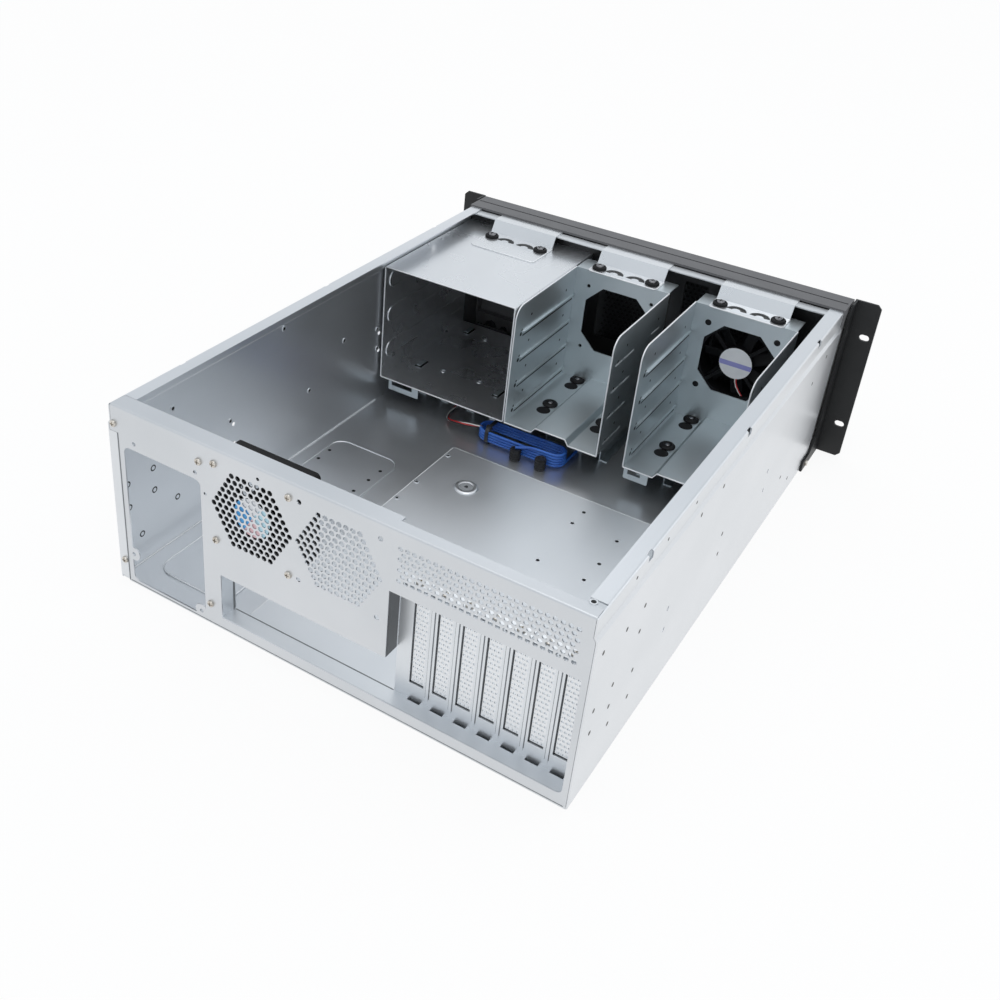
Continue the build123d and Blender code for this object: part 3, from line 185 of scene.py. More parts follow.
# Hangers, washers and grommets: profiles are points of radius and height, the washer's from its edge
HANGERS = ("left", "centre", "right")
HANGER_BEND = 16.5
HANGER_SLOPE = 5.0
HANGER_LAP = 2.0
HANGER_UNDERCUT = 0.3
HANGER_CORNER = 3.0
HANGER_SCREWS = 60.0
HANGER_SCREW_Y = -228.0
HANGER_SLOT_ASIDE = 18.0
HANGER_SLOT_DROP = 4.0
HANGER_SLOT_R = 7.5
HANGER_SLOT_WIDTH = 6.2
HANGER_SLOT_TURN = (185, 355)
WASHER_BORE = 1.9
WASHER_RIM = [(0, 0), (0, 1.5), (0.7, 2.6), (2.1, 3), (2.4, 2.3)]
WASHER_SCREW_SINK = 0.8
GROMMET_R = 6.5
GROMMET_ASIDE = 31.2
GROMMET_DOME = [(5.2, 0), (8.2, 0), (8.2, 1.2), (7.1, 2.4), (4.6, 3), (3.4, 2.2), (0, 2.2)]
GROMMET_RIVET = [(2.4, 2.1), (2.4, 2.5), (1.7, 3), (0, 3.2)]
LOBE_R = 7.4
LOBE_REACH = 15.5
LOBE_LIFT = 0.08

# Narrow cages
NARROW_CAGES = ("drive_cage_centre", "drive_cage_right")
CAGE_SHEET = 1.0
DRIVE_DEPTH = 133.0
WALL_CORNER = 14.0
CHANNEL_HALF = (17.0, 21.0)
CHANNEL_RISE = 6.0
RIB_LEVELS = 4
RIB_BASE = 11.0
RIB_PITCH = 29.5
RIB_LENGTH = 112.0
RIB_FROM_FRONT = 3.0
RIB_GAP_DROP = 4.4
RIB_GAP = 1.5
RIB_END = (4.0, -2.0)
RIB_END_R = 2.2
END_FLAT = 0.1
# Painted light: bright bars on the narrow cages' outer faces, where light shows through the lanced gaps
OUTER_LIGHT_BARS = [(-19, 8), (-42, 12), (-108, 10)]
OUTER_LIGHT_BAR_HEIGHT = 1.8
OUTER_LIGHT_BAR_CORNER = 0.6
CAGE_DOTS = [(-16, 2), (-34, 13), (-112, 11)]
CAGE_LIPS = [(165.0, 203.0), (-104.0, -78.5)]
LIP_Y = -94.0
LIP_Z = (15.0, 30.0)
LIP_CORNER = 1.5
LIP_SLOT_Z = (21.0, 26.0)
LIP_SLOT_INSET = (8.0, 4.0)
LIP_SLOT_CORNER = 0.8

# Wide cage
CHANNEL_Z = (59.0, 101.0, 142.0)
CHANNEL_HEIGHT = 17.0
CHANNEL_INSET = 8.0
CHANNEL_BEAD_R = 1.0
CHANNEL_SHEET = 0.5
CHANNEL_SINK = 0.2
BAY_MOUTH_R = 1.5
BAY_TABS = [(190, -132), (89, -128), (190, -236)]
BAY_TAB = ((-2.6, 2.6), (-14.0, 0.0))
BAY_TAB_SLOT = ((-4.0, 4.0), (-16.0, 1.5))
BAY_TAB_CORNER = 0.8
BAY_TAB_SHEET = 0.8
BAY_TAB_RISE = 1.4
BAY_DOTS = [(162, -140), (118, -144), (163, -235), (118, -235)]

# Edge beads along sheet edges and folds, whiter than the sheet: painted highlight
EDGE_R = 0.75
EDGE_INSET = 1.0
EDGE_CHAMFER = 2.0
EDGE_SINK_SHARE = 0.8
FOLD_LINE_Y = (285.0, -84.0)

# Fans
LABEL_R = 17.0
LABEL_SHEET = 0.2
BAND_INSET = 0.3
BAND_LIFT = 0.12
BAND_TURN = (-14, 4)
FAN_RIM = 7.0
FAN_RIM_CORNER = 4.0
FAN_RIM_WALL = 2.0
PUSH_PIN = [(1.9, -4), (1.9, 0), (3.3, 0), (3.3, 1), (2.4, 1.9), (0, 2.1)]
PIN_HEAD = 2.0
FAN_TAIL_R = 0.6
FAN_TAIL_ASIDE = 1.3
FAN_TAIL = [(-4.0, -0.6, -15.5), (-4.5, -0.5, -20.0), (-6.5, -0.6, -25.0), (-10.0, -0.9, -30.0),
            (-13.0, -1.6, -34.0)]

# Front
SCREEN_INSET = (8.0, 2.0)
SCREEN_Z = (34.0, 152.0)
SCREEN_PITCH = 5.6
SCREEN_HOLE_R = 1.9
SCREEN_SHEET = 0.8
SCREEN_DEPTH = 7.0
FILTER_DEPTH = 5.0
FILTER_THICK = 3.0
FILTER_CORNER = 2.0
BEZEL_SEAM_HALF = 0.7
BEZEL_SEAM_SHEET = 0.2
BARE_RAIL_Z = 171.5
PAINT_BLUR = 0.3

# Marks in the sheet, as pairs of places along the wall or floor
HOLE_R = 1.9
FINE_HOLE_R = 1.4
WIDE_HOLE_R = 3.1
COLLAR = [(3.1, 0), (2.9, 0.7), (1.9, 0.7), (1.8, 0.08), (0, 0.08)]
RIGHT_WALL_HOLES = [(281, 62), (281, 83), (250, 62), (250, 83), (32, 62), (32, 83), (-152, 40.7),
                    (-188, 20.3), (65, 149.5), (113, 149.5), (211, 128), (242, 128), (212, 104.8),
                    (210, 66), (283, 137), (210, 39.7), (245, 40.7), (-222, 144), (-186, 130)]
STRIP_HOLES = [(127, 168), (181, 167), (236, 168)]
LEFT_WALL_COLLARS = [(227, 136), (155, 88.5), (36, 67), (76, 152), (-22, 99.7), (-82, 89.5), (-83, 66)]
LEFT_WALL_RINGS = [(254, 89.5), (254, 67), (227, 44.7), (272, 30.5), (284, 88.5), (284, 65)]
FLOOR_HOLES = [(191.4, 30), (191.3, 49), (128.5, 30), (128.9, 50), (129.7, 74)]
TRAY_HOLES = [(-70, -25.6), (-116.3, 38), (-136, 67)]
TRAY_TABS = [(86, -30), (86, 29), (86, 64)]
TRAY_TOP_Z = 7.2
BOSS_FROM_WALL = 172.2
BOSS_Y = 8.5
BOSS_RIM = [(12.2, -0.05), (11.6, 0.9), (10.3, 1.5), (8.6, 1.5), (7.2, 1.0), (7.1, -0.05)]
LID_SCREW = (-203.0, 285.0)
FLOOR_EMBOSS_Z = 2.0
FIELD_X = (120.0, 197.0)
FIELD_Y = (6.0, 274.0)
FIELD_CORNER = 14.0
FIELD_BEAD_R = 0.8
FIELD_BEAD_SINK = 0.1


def span(node):
    """Lowest and highest corner of a CAD node, in millimetres."""
    low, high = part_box(node)
    return Vector(low) / MM, Vector(high) / MM


def at(x, y, z):
    """A place in millimetres."""
    return Matrix.Translation((x, y, z))


def middle(node):
    """Centre of a CAD node's box."""
    low, high = span(node)
    return (low + high) / 2


# Materials

TINT_STOPS = (0.3, 0.7)


def new_material(name, base, metallic=0.0, roughness=0.5):
    """A material with one principled shader."""
    material = bpy.data.materials.new(name)
    material.use_nodes = True
    shader = material.node_tree.nodes["Principled BSDF"]
    shader.inputs["Base Color"].default_value = (*base, 1)
    shader.inputs["Metallic"].default_value = metallic
    shader.inputs["Roughness"].default_value = roughness
    return material, material.node_tree, shader


def noise(tree, scale, detail=3.0, stretch=(1, 1, 1)):
    """A noise pattern fixed to the object."""
    coords = tree.nodes.new("ShaderNodeTexCoord")
    mapping = tree.nodes.new("ShaderNodeMapping")
    mapping.inputs["Scale"].default_value = stretch
    texture = tree.nodes.new("ShaderNodeTexNoise")
    texture.inputs["Scale"].default_value = scale
    texture.inputs["Detail"].default_value = detail
    tree.links.new(coords.outputs["Object"], mapping.inputs["Vector"])
    tree.links.new(mapping.outputs["Vector"], texture.inputs["Vector"])
    return texture.outputs["Fac"]


def tint(tree, shader, pattern, low, high):
    """Lets the base colour follow a pattern."""
    node = tree.nodes.new("ShaderNodeValToRGB")
    for stop, position, colour in zip(node.color_ramp.elements, TINT_STOPS, (low, high)):
        stop.position = position
        stop.color = (*colour, 1)
    tree.links.new(pattern, node.inputs["Fac"])
    tree.links.new(node.outputs["Color"], shader.inputs["Base Color"])


def vary(tree, shader, pattern, low, high):
    """Lets the roughness follow a pattern."""
    node = tree.nodes.new("ShaderNodeMapRange")
    node.inputs["To Min"].default_value = low
    node.inputs["To Max"].default_value = high
    tree.links.new(pattern, node.inputs["Value"])
    tree.links.new(node.outputs["Result"], shader.inputs["Roughness"])


def bump(tree, shader, pattern, strength, depth):
    """Lets the surface follow a pattern, by a depth in millimetres."""
    node = tree.nodes.new("ShaderNodeBump")
    node.inputs["Strength"].default_value = strength
    node.inputs["Distance"].default_value = depth * MM
    tree.links.new(pattern, node.inputs["Height"])
    tree.links.new(node.outputs["Normal"], shader.inputs["Normal"])


def sheet_metal(name, dark, light, rough, grain=(1, 0.03, 1), metallic=0.9):
    """Zinc-coated sheet: soft cloudy tone, and faint lines from the rolling mill."""
    material, tree, shader = new_material(name, light, metallic)
    tint(tree, shader, noise(tree, 9, 4, (1, 0.4, 1)), dark, light)
    vary(tree, shader, noise(tree, 26, 3), *rough)
    bump(tree, shader, noise(tree, 700, 2, grain), 0.06, 0.05)
    return material


def moulded(name, dark, light, rough, grain_scale=2600, grain=0.15, depth=0.03, sheen=0.5):
    """Moulded plastic, rubber or paint with a fine grain."""
    material, tree, shader = new_material(name, light)
    shader.inputs["Specular IOR Level"].default_value = sheen
    tint(tree, shader, noise(tree, 60, 3), dark, light)
    vary(tree, shader, noise(tree, 120, 3), *rough)
    bump(tree, shader, noise(tree, grain_scale, 2), grain, depth)
    return material


def half_painted(name, paint, bare, seam):
    """Sheet that is painted below a height and bare metal above it."""
    material, tree, shader = new_material(name, bare)
    coords = tree.nodes.new("ShaderNodeTexCoord")
    split = tree.nodes.new("ShaderNodeSeparateXYZ")
    edge = tree.nodes.new("ShaderNodeMapRange")
    edge.inputs["From Min"].default_value = (seam - PAINT_BLUR) * MM
    edge.inputs["From Max"].default_value = (seam + PAINT_BLUR) * MM
    edge.inputs["To Max"].default_value = 0.9
    tree.links.new(coords.outputs["Object"], split.inputs["Vector"])
    tree.links.new(split.outputs["Z"], edge.inputs["Value"])
    tree.links.new(edge.outputs["Result"], shader.inputs["Metallic"])
    tint(tree, shader, edge.outputs["Result"], paint, bare)
    vary(tree, shader, noise(tree, 40, 3), 0.34, 0.46)
    bump(tree, shader, noise(tree, 900, 2), 0.08, 0.04)
    return material


def plated(name, dark, light, rough):
    """Plated steel of small screws."""
    material, tree, shader = new_material(name, light, metallic=1.0)
    tint(tree, shader, noise(tree, 300, 3), dark, light)
    vary(tree, shader, noise(tree, 500, 3), *rough)
    return material


ZINC = sheet_metal("zinc_sheet", (0.70, 0.725, 0.75), (0.76, 0.78, 0.805), (0.29, 0.37))
REAR = sheet_metal("rear_sheet", (0.62, 0.645, 0.67), (0.68, 0.70, 0.725), (0.32, 0.42))
# Dark colour that paints the dark reflection on the recess's side flange
RETURN_SHADE = sheet_metal("return_painted_reflection", (0.09, 0.095, 0.10), (0.14, 0.145, 0.15), (0.3, 0.4))
TRAY = sheet_metal("tray_sheet", (0.71, 0.74, 0.77), (0.77, 0.795, 0.82), (0.37, 0.45))
# Whiter and less metallic than the sheet: painted highlight on edges and folds, and painted light through
# the cage gaps
HIGHLIGHT_WHITE = sheet_metal("painted_edge_highlight", (0.82, 0.84, 0.86), (0.90, 0.91, 0.92), (0.4, 0.55), metallic=0.4)
BRIGHT = sheet_metal("bright_sheet", (0.75, 0.77, 0.79), (0.82, 0.84, 0.86), (0.24, 0.32))
CAGE = sheet_metal("cage_sheet", (0.58, 0.635, 0.66), (0.68, 0.735, 0.76), (0.32, 0.42))
FRONT = half_painted("front_sheet", (0.012, 0.012, 0.013), (0.74, 0.76, 0.78), BARE_RAIL_Z)
SCREW = plated("screw_steel", (0.46, 0.42, 0.37), (0.72, 0.69, 0.64), (0.16, 0.28))
STEEL = plated("bare_steel", (0.16, 0.16, 0.17), (0.30, 0.30, 0.31), (0.2, 0.32))
# Painted shade seen in holes, slots and gaps, laid as dark films
HOLE_SHADE = plated("painted_hole_shade", (0.03, 0.03, 0.03), (0.06, 0.06, 0.06), (0.3, 0.45))
RUBBER = moulded("black_rubber", (0.004, 0.004, 0.005), (0.010, 0.010, 0.011), (0.5, 0.65), sheen=0.25)
PAINT = moulded("black_paint", (0.006, 0.007, 0.008), (0.010, 0.011, 0.012), (0.42, 0.52), sheen=0.4)
# Grey above the black plastic's own colour: partly painted sheen
BEZEL = moulded("bezel_plastic", (0.098, 0.098, 0.103), (0.115, 0.115, 0.12), (0.38, 0.5))
FOAM = moulded("filter_foam", (0.004, 0.004, 0.004), (0.010, 0.010, 0.010), (0.8, 0.95), 900, 0.8, 0.6)
BUTTON = moulded("button_plastic", (0.02, 0.02, 0.022), (0.03, 0.03, 0.033), (0.3, 0.4))
LENS = moulded("lamp_lens", (0.2, 0.5, 0.24), (0.3, 0.66, 0.34), (0.12, 0.2))
FAN = moulded("fan_plastic", (0.003, 0.003, 0.004), (0.007, 0.007, 0.008), (0.5, 0.65), sheen=0.2)
SOCKET = plated("socket_metal", (0.55, 0.55, 0.57), (0.78, 0.78, 0.8), (0.18, 0.3))
BLUE = moulded("blue_lead", (0.02, 0.10, 0.45), (0.05, 0.18, 0.62), (0.34, 0.46))
RED = moulded("red_wire", (0.42, 0.015, 0.02), (0.6, 0.03, 0.035), (0.35, 0.5))
WHITE = moulded("white_wire", (0.68, 0.66, 0.63), (0.82, 0.8, 0.77), (0.35, 0.5))
BLACK = moulded("black_wire", (0.01, 0.01, 0.011), (0.022, 0.022, 0.024), (0.35, 0.5))
PLUG = moulded("plug_plastic", (0.012, 0.012, 0.013), (0.03, 0.03, 0.032), (0.3, 0.45))
IVORY = moulded("white_plastic", (0.62, 0.61, 0.57), (0.8, 0.79, 0.75), (0.35, 0.5))
# Painted shadow in the strips beside the slot windows
SHADOW_GAP_GREY = moulded("shadow_gap_grey", (0.04, 0.045, 0.05), (0.06, 0.065, 0.07), (0.5, 0.6))
# Dark grey for the rear panel's seam line, a real joint, and for painted shade lines along the panel's
# foot, in the recess's corners and beside the slot ribs
SEAM_AND_SHADE_GREY = moulded("seam_and_shade_grey", (0.16, 0.17, 0.18), (0.22, 0.23, 0.24), (0.5, 0.6))
LABEL_WHITE = moulded("label_white", (0.74, 0.75, 0.77), (0.82, 0.83, 0.85), (0.3, 0.4))
LABEL_VIOLET = moulded("label_violet", (0.26, 0.27, 0.60), (0.34, 0.34, 0.68), (0.3, 0.4))
LABEL_CYAN = moulded("label_cyan", (0.40, 0.66, 0.78), (0.55, 0.78, 0.86), (0.3, 0.4))
LABEL_BLUE = moulded("label_blue", (0.04, 0.30, 0.66), (0.08, 0.40, 0.76), (0.3, 0.4))
LABEL_RED = moulded("label_red", (0.72, 0.45, 0.47), (0.80, 0.55, 0.57), (0.3, 0.4))

NODE_LOOKS = {
    "chassis_tub": ZINC, "slot_panel": TRAY, "board_tray": TRAY, "front_wall": FRONT,
    "bay_cage": BRIGHT, "drive_cage": CAGE, "cage_stand": CAGE, "hanger_": BRIGHT,
    "rack_ear": PAINT, "ear_screws": SCREW, "bezel": BEZEL, "bay_cover": BEZEL, "switch_holder": BEZEL,
    "power_button": BUTTON, "reset_button": BUTTON, "front_lamps": LENS, "front_sockets": SOCKET,
    "front_fan": FAN, "rear_fan": FAN, "lead_": PLUG, "fan_plug": IVORY,
}


def dress_nodes():
    """Gives each CAD node the material of its kind."""
    for name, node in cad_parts.items():
        for start, look in NODE_LOOKS.items():
            if name.startswith(start):
                node.data.materials.clear()
                node.data.materials.append(look)


# Shapes

def add(name, mesh, material, place=Matrix(), smooth=None):
    """Turns a mesh in millimetres into a piece that rides on the case."""
    mesh.transform(Matrix.Scale(MM, 4) @ place)
    mesh.name = name
    if not mesh.materials:
        mesh.materials.append(material)
    if smooth:
        mesh.shade_smooth()
        mesh.set_sharp_from_angle(angle=radians(smooth))
    piece = bpy.data.objects.new(name, mesh)
    bpy.context.collection.objects.link(piece)
    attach(piece, "case")
    return piece


def to_mesh(form, name="piece"):
    """Closes a bmesh and gives its mesh."""
    bmesh.ops.recalc_face_normals(form, faces=form.faces)
    mesh = bpy.data.meshes.new(name)
    form.to_mesh(mesh)
    form.free()
    return mesh


def skin(form, rings):
    """Lays faces between rings of points, closes both ends and gives the mesh."""
    count = len(rings[0])
    for lower, upper in zip(rings, rings[1:]):
        for i in range(count):
            j = (i + 1) % count
            form.faces.new((lower[i], lower[j], upper[j], upper[i]))
    form.faces.new(rings[0])
    form.faces.new(rings[-1])
    return to_mesh(form)


def ring(x, y, radius, sides, turn=0.0):
    """Points of a regular outline."""
    return [(x + radius * cos(turn + 2 * pi * i / sides), y + radius * sin(turn + 2 * pi * i / sides))
            for i in range(sides)]


def arc(x, y, radius, start, end, steps=6):
    """Points of an arc between two angles in degrees."""
    angles = [radians(start + (end - start) * i / steps) for i in range(steps + 1)]
    return [(x + radius * cos(a), y + radius * sin(a)) for a in angles]


def box(x, y):
    """Outline of a plain box."""
    return [(x[0], y[0]), (x[1], y[0]), (x[1], y[1]), (x[0], y[1])]


def rounded(x, y, corner):
    """Outline of a box with round corners."""
    points = arc(x[1] - corner, y[0] + corner, corner, -90, 0)
    points += arc(x[1] - corner, y[1] - corner, corner, 0, 90)
    points += arc(x[0] + corner, y[1] - corner, corner, 90, 180)
    return points + arc(x[0] + corner, y[0] + corner, corner, 180, 270)


def plate(outlines, thickness):
    """A flat sheet in X and Y about z = 0: an outline with holes in it."""
    curve = bpy.data.curves.new("plate", "CURVE")
    curve.dimensions = "2D"
    curve.fill_mode = "BOTH"
    curve.extrude = thickness / 2
    for points in outlines:
        spline = curve.splines.new("POLY")
        spline.points.add(len(points) - 1)
        for point, (x, y) in zip(spline.points, points):
            point.co = (x, y, 0, 1)
        spline.use_cyclic_u = True
    holder = bpy.data.objects.new("plate", curve)
    mesh = bpy.data.meshes.new_from_object(holder)
    bpy.data.objects.remove(holder)
    bpy.data.curves.remove(curve)
    mesh.materials.clear()
    return mesh


def facing_rear(x, y, z):
    """Turns a piece drawn in X and Y so that it stands upright, with its top towards the rear."""
    upright = Matrix(((-1, 0, 0), (0, 0, 1), (0, 1, 0))).to_4x4()
    return at(x, y, z) @ upright


def standing(y):
    """Turns a sheet drawn in X and Z upright, at depth y."""
    return at(0, y, 0) @ Matrix(((1, 0, 0), (0, 0, -1), (0, 1, 0))).to_4x4()


def facing_side(x):
    """Turns a sheet drawn in Y and Z upright, at the side place x."""
    return at(x, 0, 0) @ Matrix(((0, 0, 1), (1, 0, 0), (0, 1, 0))).to_4x4()


def along_x(outline, x0, x1):
    """A closed outline in Y and Z, pulled along X."""
    form = bmesh.new()
    return skin(form, [[form.verts.new((x, y, z)) for y, z in outline] for x in (x0, x1)])


def lathe(profile, steps=24):
    """A round form about Z, from points of radius and height."""
    form = bmesh.new()
    return skin(form, [[form.verts.new((x, y, height)) for x, y in ring(0, 0, max(radius, AXIS_R), steps)]
                       for radius, height in profile])


def joined(parts):
    """One mesh from pairs of a mesh and its place."""
    form = bmesh.new()
    for mesh, place in parts:
        copy = mesh.copy()
        copy.transform(place)
        form.from_mesh(copy)
        bpy.data.meshes.remove(copy)
    mesh = bpy.data.meshes.new("joined")
    form.to_mesh(mesh)
    form.free()
    return mesh


def disc(radius, sides):
    """A flat round mark that lies on a face."""
    return lathe([(radius, 0), (radius, FILM_LIFT), (0, FILM_LIFT)], sides)


def film(outline):
    """A thin mark, to be laid on a face."""
    return plate([outline], FILM)


def copies(mesh, places):
    """One mesh from copies of a mesh."""
    return joined([(mesh, place) for place in places])


def staggered(first, columns, rows, pitch):
    """Centres of holes in staggered rows, from the place of the first hole."""
    return [(first[0] + (column + (row % 2) / 2) * pitch[0], first[1] + row * pitch[1])
            for row in range(rows) for column in range(columns - row % 2)]


def staggered_about(centre, columns, rows, pitch):
    """Centres of holes in staggered rows, from the place of their middle."""
    first = [place - (count - 1) / 2 * step for place, count, step in zip(centre, (columns, rows), pitch)]
    return staggered(first, columns, rows, pitch)


def cut(mesh, tool):
    """The first mesh with the second taken away."""
    block = bpy.data.objects.new("block", mesh)
    cutter = bpy.data.objects.new("cutter", tool)
    for item in (block, cutter):
        bpy.context.collection.objects.link(item)
    modifier = block.modifiers.new("cut", "BOOLEAN")
    modifier.object = cutter
    modifier.solver = "EXACT"
    result = bpy.data.meshes.new_from_object(block.evaluated_get(bpy.context.evaluated_depsgraph_get()))
    bpy.data.objects.remove(block)
    bpy.data.objects.remove(cutter)
    return result


def block(x, y, z):
    """A plain block, used as a cutter."""
    form = bmesh.new()
    bmesh.ops.create_cube(form, size=1)
    size = [r[1] - r[0] for r in (x, y, z)]
    centre = [(r[0] + r[1]) / 2 for r in (x, y, z)]
    form.transform(Matrix.Translation(centre) @ Matrix.Diagonal((*size, 1)))
    return to_mesh(form)


def pan_screw(radius, height, shank_radius, shank):
    """A pan-head screw with a cross recess, its head seated at z = 0."""
    curve = [(radius * out, height * up) for out, up in HEAD_CURVE]
    head = lathe([(shank_radius, -shank), (shank_radius, 0), *curve])
    wing, slot = (radius * share for share in CROSS_SHARES[:2])
    floor = height * CROSS_SHARES[2]
    for x, y in ((wing, slot), (slot, wing)):
        head = cut(head, block((-x, x), (-y, y), (floor, height + 1)))
    return head


# Rear panel

def tabbed_opening():
    """Outline of the power supply's cut-out, with its two screw tabs standing into it."""
    (x0, x1), (z0, z1) = PSU_OPEN_X, PSU_OPEN_Z
    corner = PSU_CORNER
    foot, side = PSU_HOLES[0], PSU_HOLES[3]
    foot_left = atan2((PSU_TAB_R ** 2 - (foot[0] - x0) ** 2) ** 0.5, x0 - foot[0])
    foot_right = atan2(z0 - foot[1], (PSU_TAB_R ** 2 - (foot[1] - z0) ** 2) ** 0.5)
    side_angle = atan2((PSU_TAB_R ** 2 - (x1 - side[0]) ** 2) ** 0.5, x1 - side[0])
    turns = [value * 180 / pi for value in (foot_left, foot_right, side_angle)]
    points = arc(*foot, PSU_TAB_R, turns[0], turns[1], 12)
    points += arc(x1 - corner, z0 + corner, corner, -90, 0)
    points += arc(*side, PSU_TAB_R, 360 - turns[2], turns[2], 12)
    points += arc(x1 - corner, z1 - corner, corner, 0, 90)
    points += arc(x0 + corner, z1 - corner, corner, 90, 180)
    return points


def grille_points():
    """Centres of the holes of a hexagonal grille, with corners along X."""
    steps = range(-GRILLE_RINGS, GRILLE_RINGS + 1)
    cells = [(q, r) for q in steps for r in steps if abs(q + r) <= GRILLE_RINGS]
    return [(GRILLE_PITCH * (q + r / 2), GRILLE_PITCH * r * sin(radians(60))) for q, r in cells]


def fan_corner_holes(x, z):
    """Places of a fan's four holes about its middle."""
    reach = FAN_HOLES / 2
    return [(x + i * reach, z + j * reach) for i in (-1, 1) for j in (-1, 1)]


def recess_outline(x_recess, x_step, x_io, floor, io_top, lintel):
    """Outline of the cut-out for the recessed slot panel."""
    points = [(x_io, floor), (x_io, io_top), (x_step, io_top), (x_step, lintel), (x_recess, lintel)]
    return points + arc(x_recess + RECESS_CORNER, floor + RECESS_CORNER, RECESS_CORNER, 180, 270)


def make_rear_panel():
    """The folded rear wall with its grilles, vents and cut-outs."""
    low, high = span("rear_panel")
    slots_low, slots_high = span("slot_panel")
    fan = middle("rear_fan_frame")
    spare_x = fan.x - SPARE_GRILLE_ASIDE
    side = high.x
    neck = side - SIDE_STEP
    seam = side - STRIP_SEAM
    top = high.z - FOLD_R
    outline = [(-side, low.z), (seam, low.z), (seam, STRIP_TOP), (side, STRIP_TOP), (side, JOGGLE_Z[0]),
               (neck, JOGGLE_Z[1]), (neck, top), (-neck, top), (-neck, JOGGLE_Z[1]),
               (-side, JOGGLE_Z[0])]
    x_recess = slots_low.x + SHEET
    x_io = slots_high.x - SHEET
    x_step = x_io - IO_WIDTH
    floor = slots_low.z + SHEET
    io_top = floor + IO_HEIGHT
    lintel = high.z - LINTEL_DROP
    holes = [tabbed_opening(), recess_outline(x_recess, x_step, x_io, floor, io_top, lintel)]
    for x in (fan.x, spare_x):
        holes += [ring(x + dx, fan.z + dz, GRILLE_HOLE_R, 8, pi / 8) for dx, dz in grille_points()]
    vents = staggered_about(((x_recess + x_step) / 2, VENT_Z), VENT_COLUMNS, VENT_ROWS, VENT_PITCH)
    holes += [ring(x, z, VENT_HOLE_R, 8, pi / 8) for x, z in vents]
    holes += [ring(x, z, PSU_HOLE_R, 14) for x, z in PSU_HOLES]
    holes += [ring(x, z, FAN_HOLE_R, 12) for x, z in fan_corner_holes(spare_x, fan.z)]
    holes += [ring(x, z, SMALL_HOLE_R, 12) for x, z in SMALL_HOLES if abs(x) < seam]
    parts = [(plate([outline, *holes], SHEET), standing(high.y - SHEET / 2))]
    bend = arc(high.y - FOLD_R, top, FOLD_R, 0, 90)
    back = arc(high.y - FOLD_R, top, FOLD_R - SHEET, 90, 0)
    for x0, x1, reach in ((x_step, neck, FLANGE_WIDE), (-neck, x_step, FLANGE_NARROW)):
        edge = high.y - reach
        parts.append((along_x([*bend, (edge, high.z), (edge, high.z - SHEET), *back], x0, x1), Matrix()))
    seam_line = film(box((seam - SEAM_WIDTH, seam), (low.z + SEAM_FOOT, STRIP_TOP)))
    # Painted shadow line along the panel's foot; the seam line above it is a real joint
    foot_line = film(box((-side + LINE_INSET, seam - LINE_INSET), FOOT_LINE_Z))
    on_face = standing(high.y + FILM / 2)
    add("rear_seam_and_shadow_line", joined([(seam_line, on_face), (foot_line, on_face)]), SEAM_AND_SHADE_GREY)
    # Painted shade lines in the recess's inner corners, along its ledge and its side wall
    ledge_y, corner_y = ([slots_low.y + y for y in line] for line in (LEDGE_LINE_Y, CORNER_LINE_Y))
    ledge_line = film(box((x_step, x_io - LINE_INSET), ledge_y))
    corner_line = film(box(corner_y, (floor, io_top)))
    add("recess_shade_lines", joined([(ledge_line, at(0, 0, floor + FILM_LIFT)),
                                (corner_line, facing_side(x_io - FILM_LIFT))]), SEAM_AND_SHADE_GREY)
    # A dark film over the recess's side flange: painted reflection of the recess's dark inside
    wall = film(box((slots_low.y + SHEET + RETURN_CLEAR, high.y - SHEET), (io_top, lintel)))
    add("recess_return_shade", wall, RETURN_SHADE, facing_side(x_step - RETURN_LIFT))
    piece = add("rear_wall", joined(parts), REAR)
    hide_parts("rear_panel")


# Slot covers

def make_slot_cover(index):
    """One vented blank with its tab and tail."""
    node = f"slot_cover_{index}"
    low, high = span(node)
    x = (low.x + high.x) / 2
    half = (high.x - low.x) / 2
    foot = low.z + COVER_TAIL
    tail = COVER_TAIL_WIDTH / 2
    outline = [(x - tail, low.z), (x + tail, low.z), (x + tail, foot), (x + half, foot),
               (x + half, high.z), (x - half, high.z), (x - half, foot), (x - tail, foot)]
    centre = (x, foot + COVER_FIELD_FOOT + COVER_FIELD / 2)
    vents = staggered_about(centre, COVER_HOLE_COLUMNS, COVER_HOLE_ROWS, COVER_HOLE_PITCH)
    holes = [ring(*vent, COVER_HOLE_R, 8, pi / 8) for vent in vents]
    face = plate([outline, *holes], COVER_SHEET)
    tab_y = low.y + COVER_SHEET
    centre_y = (tab_y + high.y) / 2
    tab = plate([box((x - half, x + half), (tab_y - centre_y, high.y - centre_y))], COVER_SHEET)
    piece = add(node + "_plate", joined([
        (face, standing(low.y + COVER_SHEET / 2)),
        (tab, at(0, centre_y, high.z - COVER_SHEET / 2)),
    ]), BRIGHT)
    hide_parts(node)


# Screws

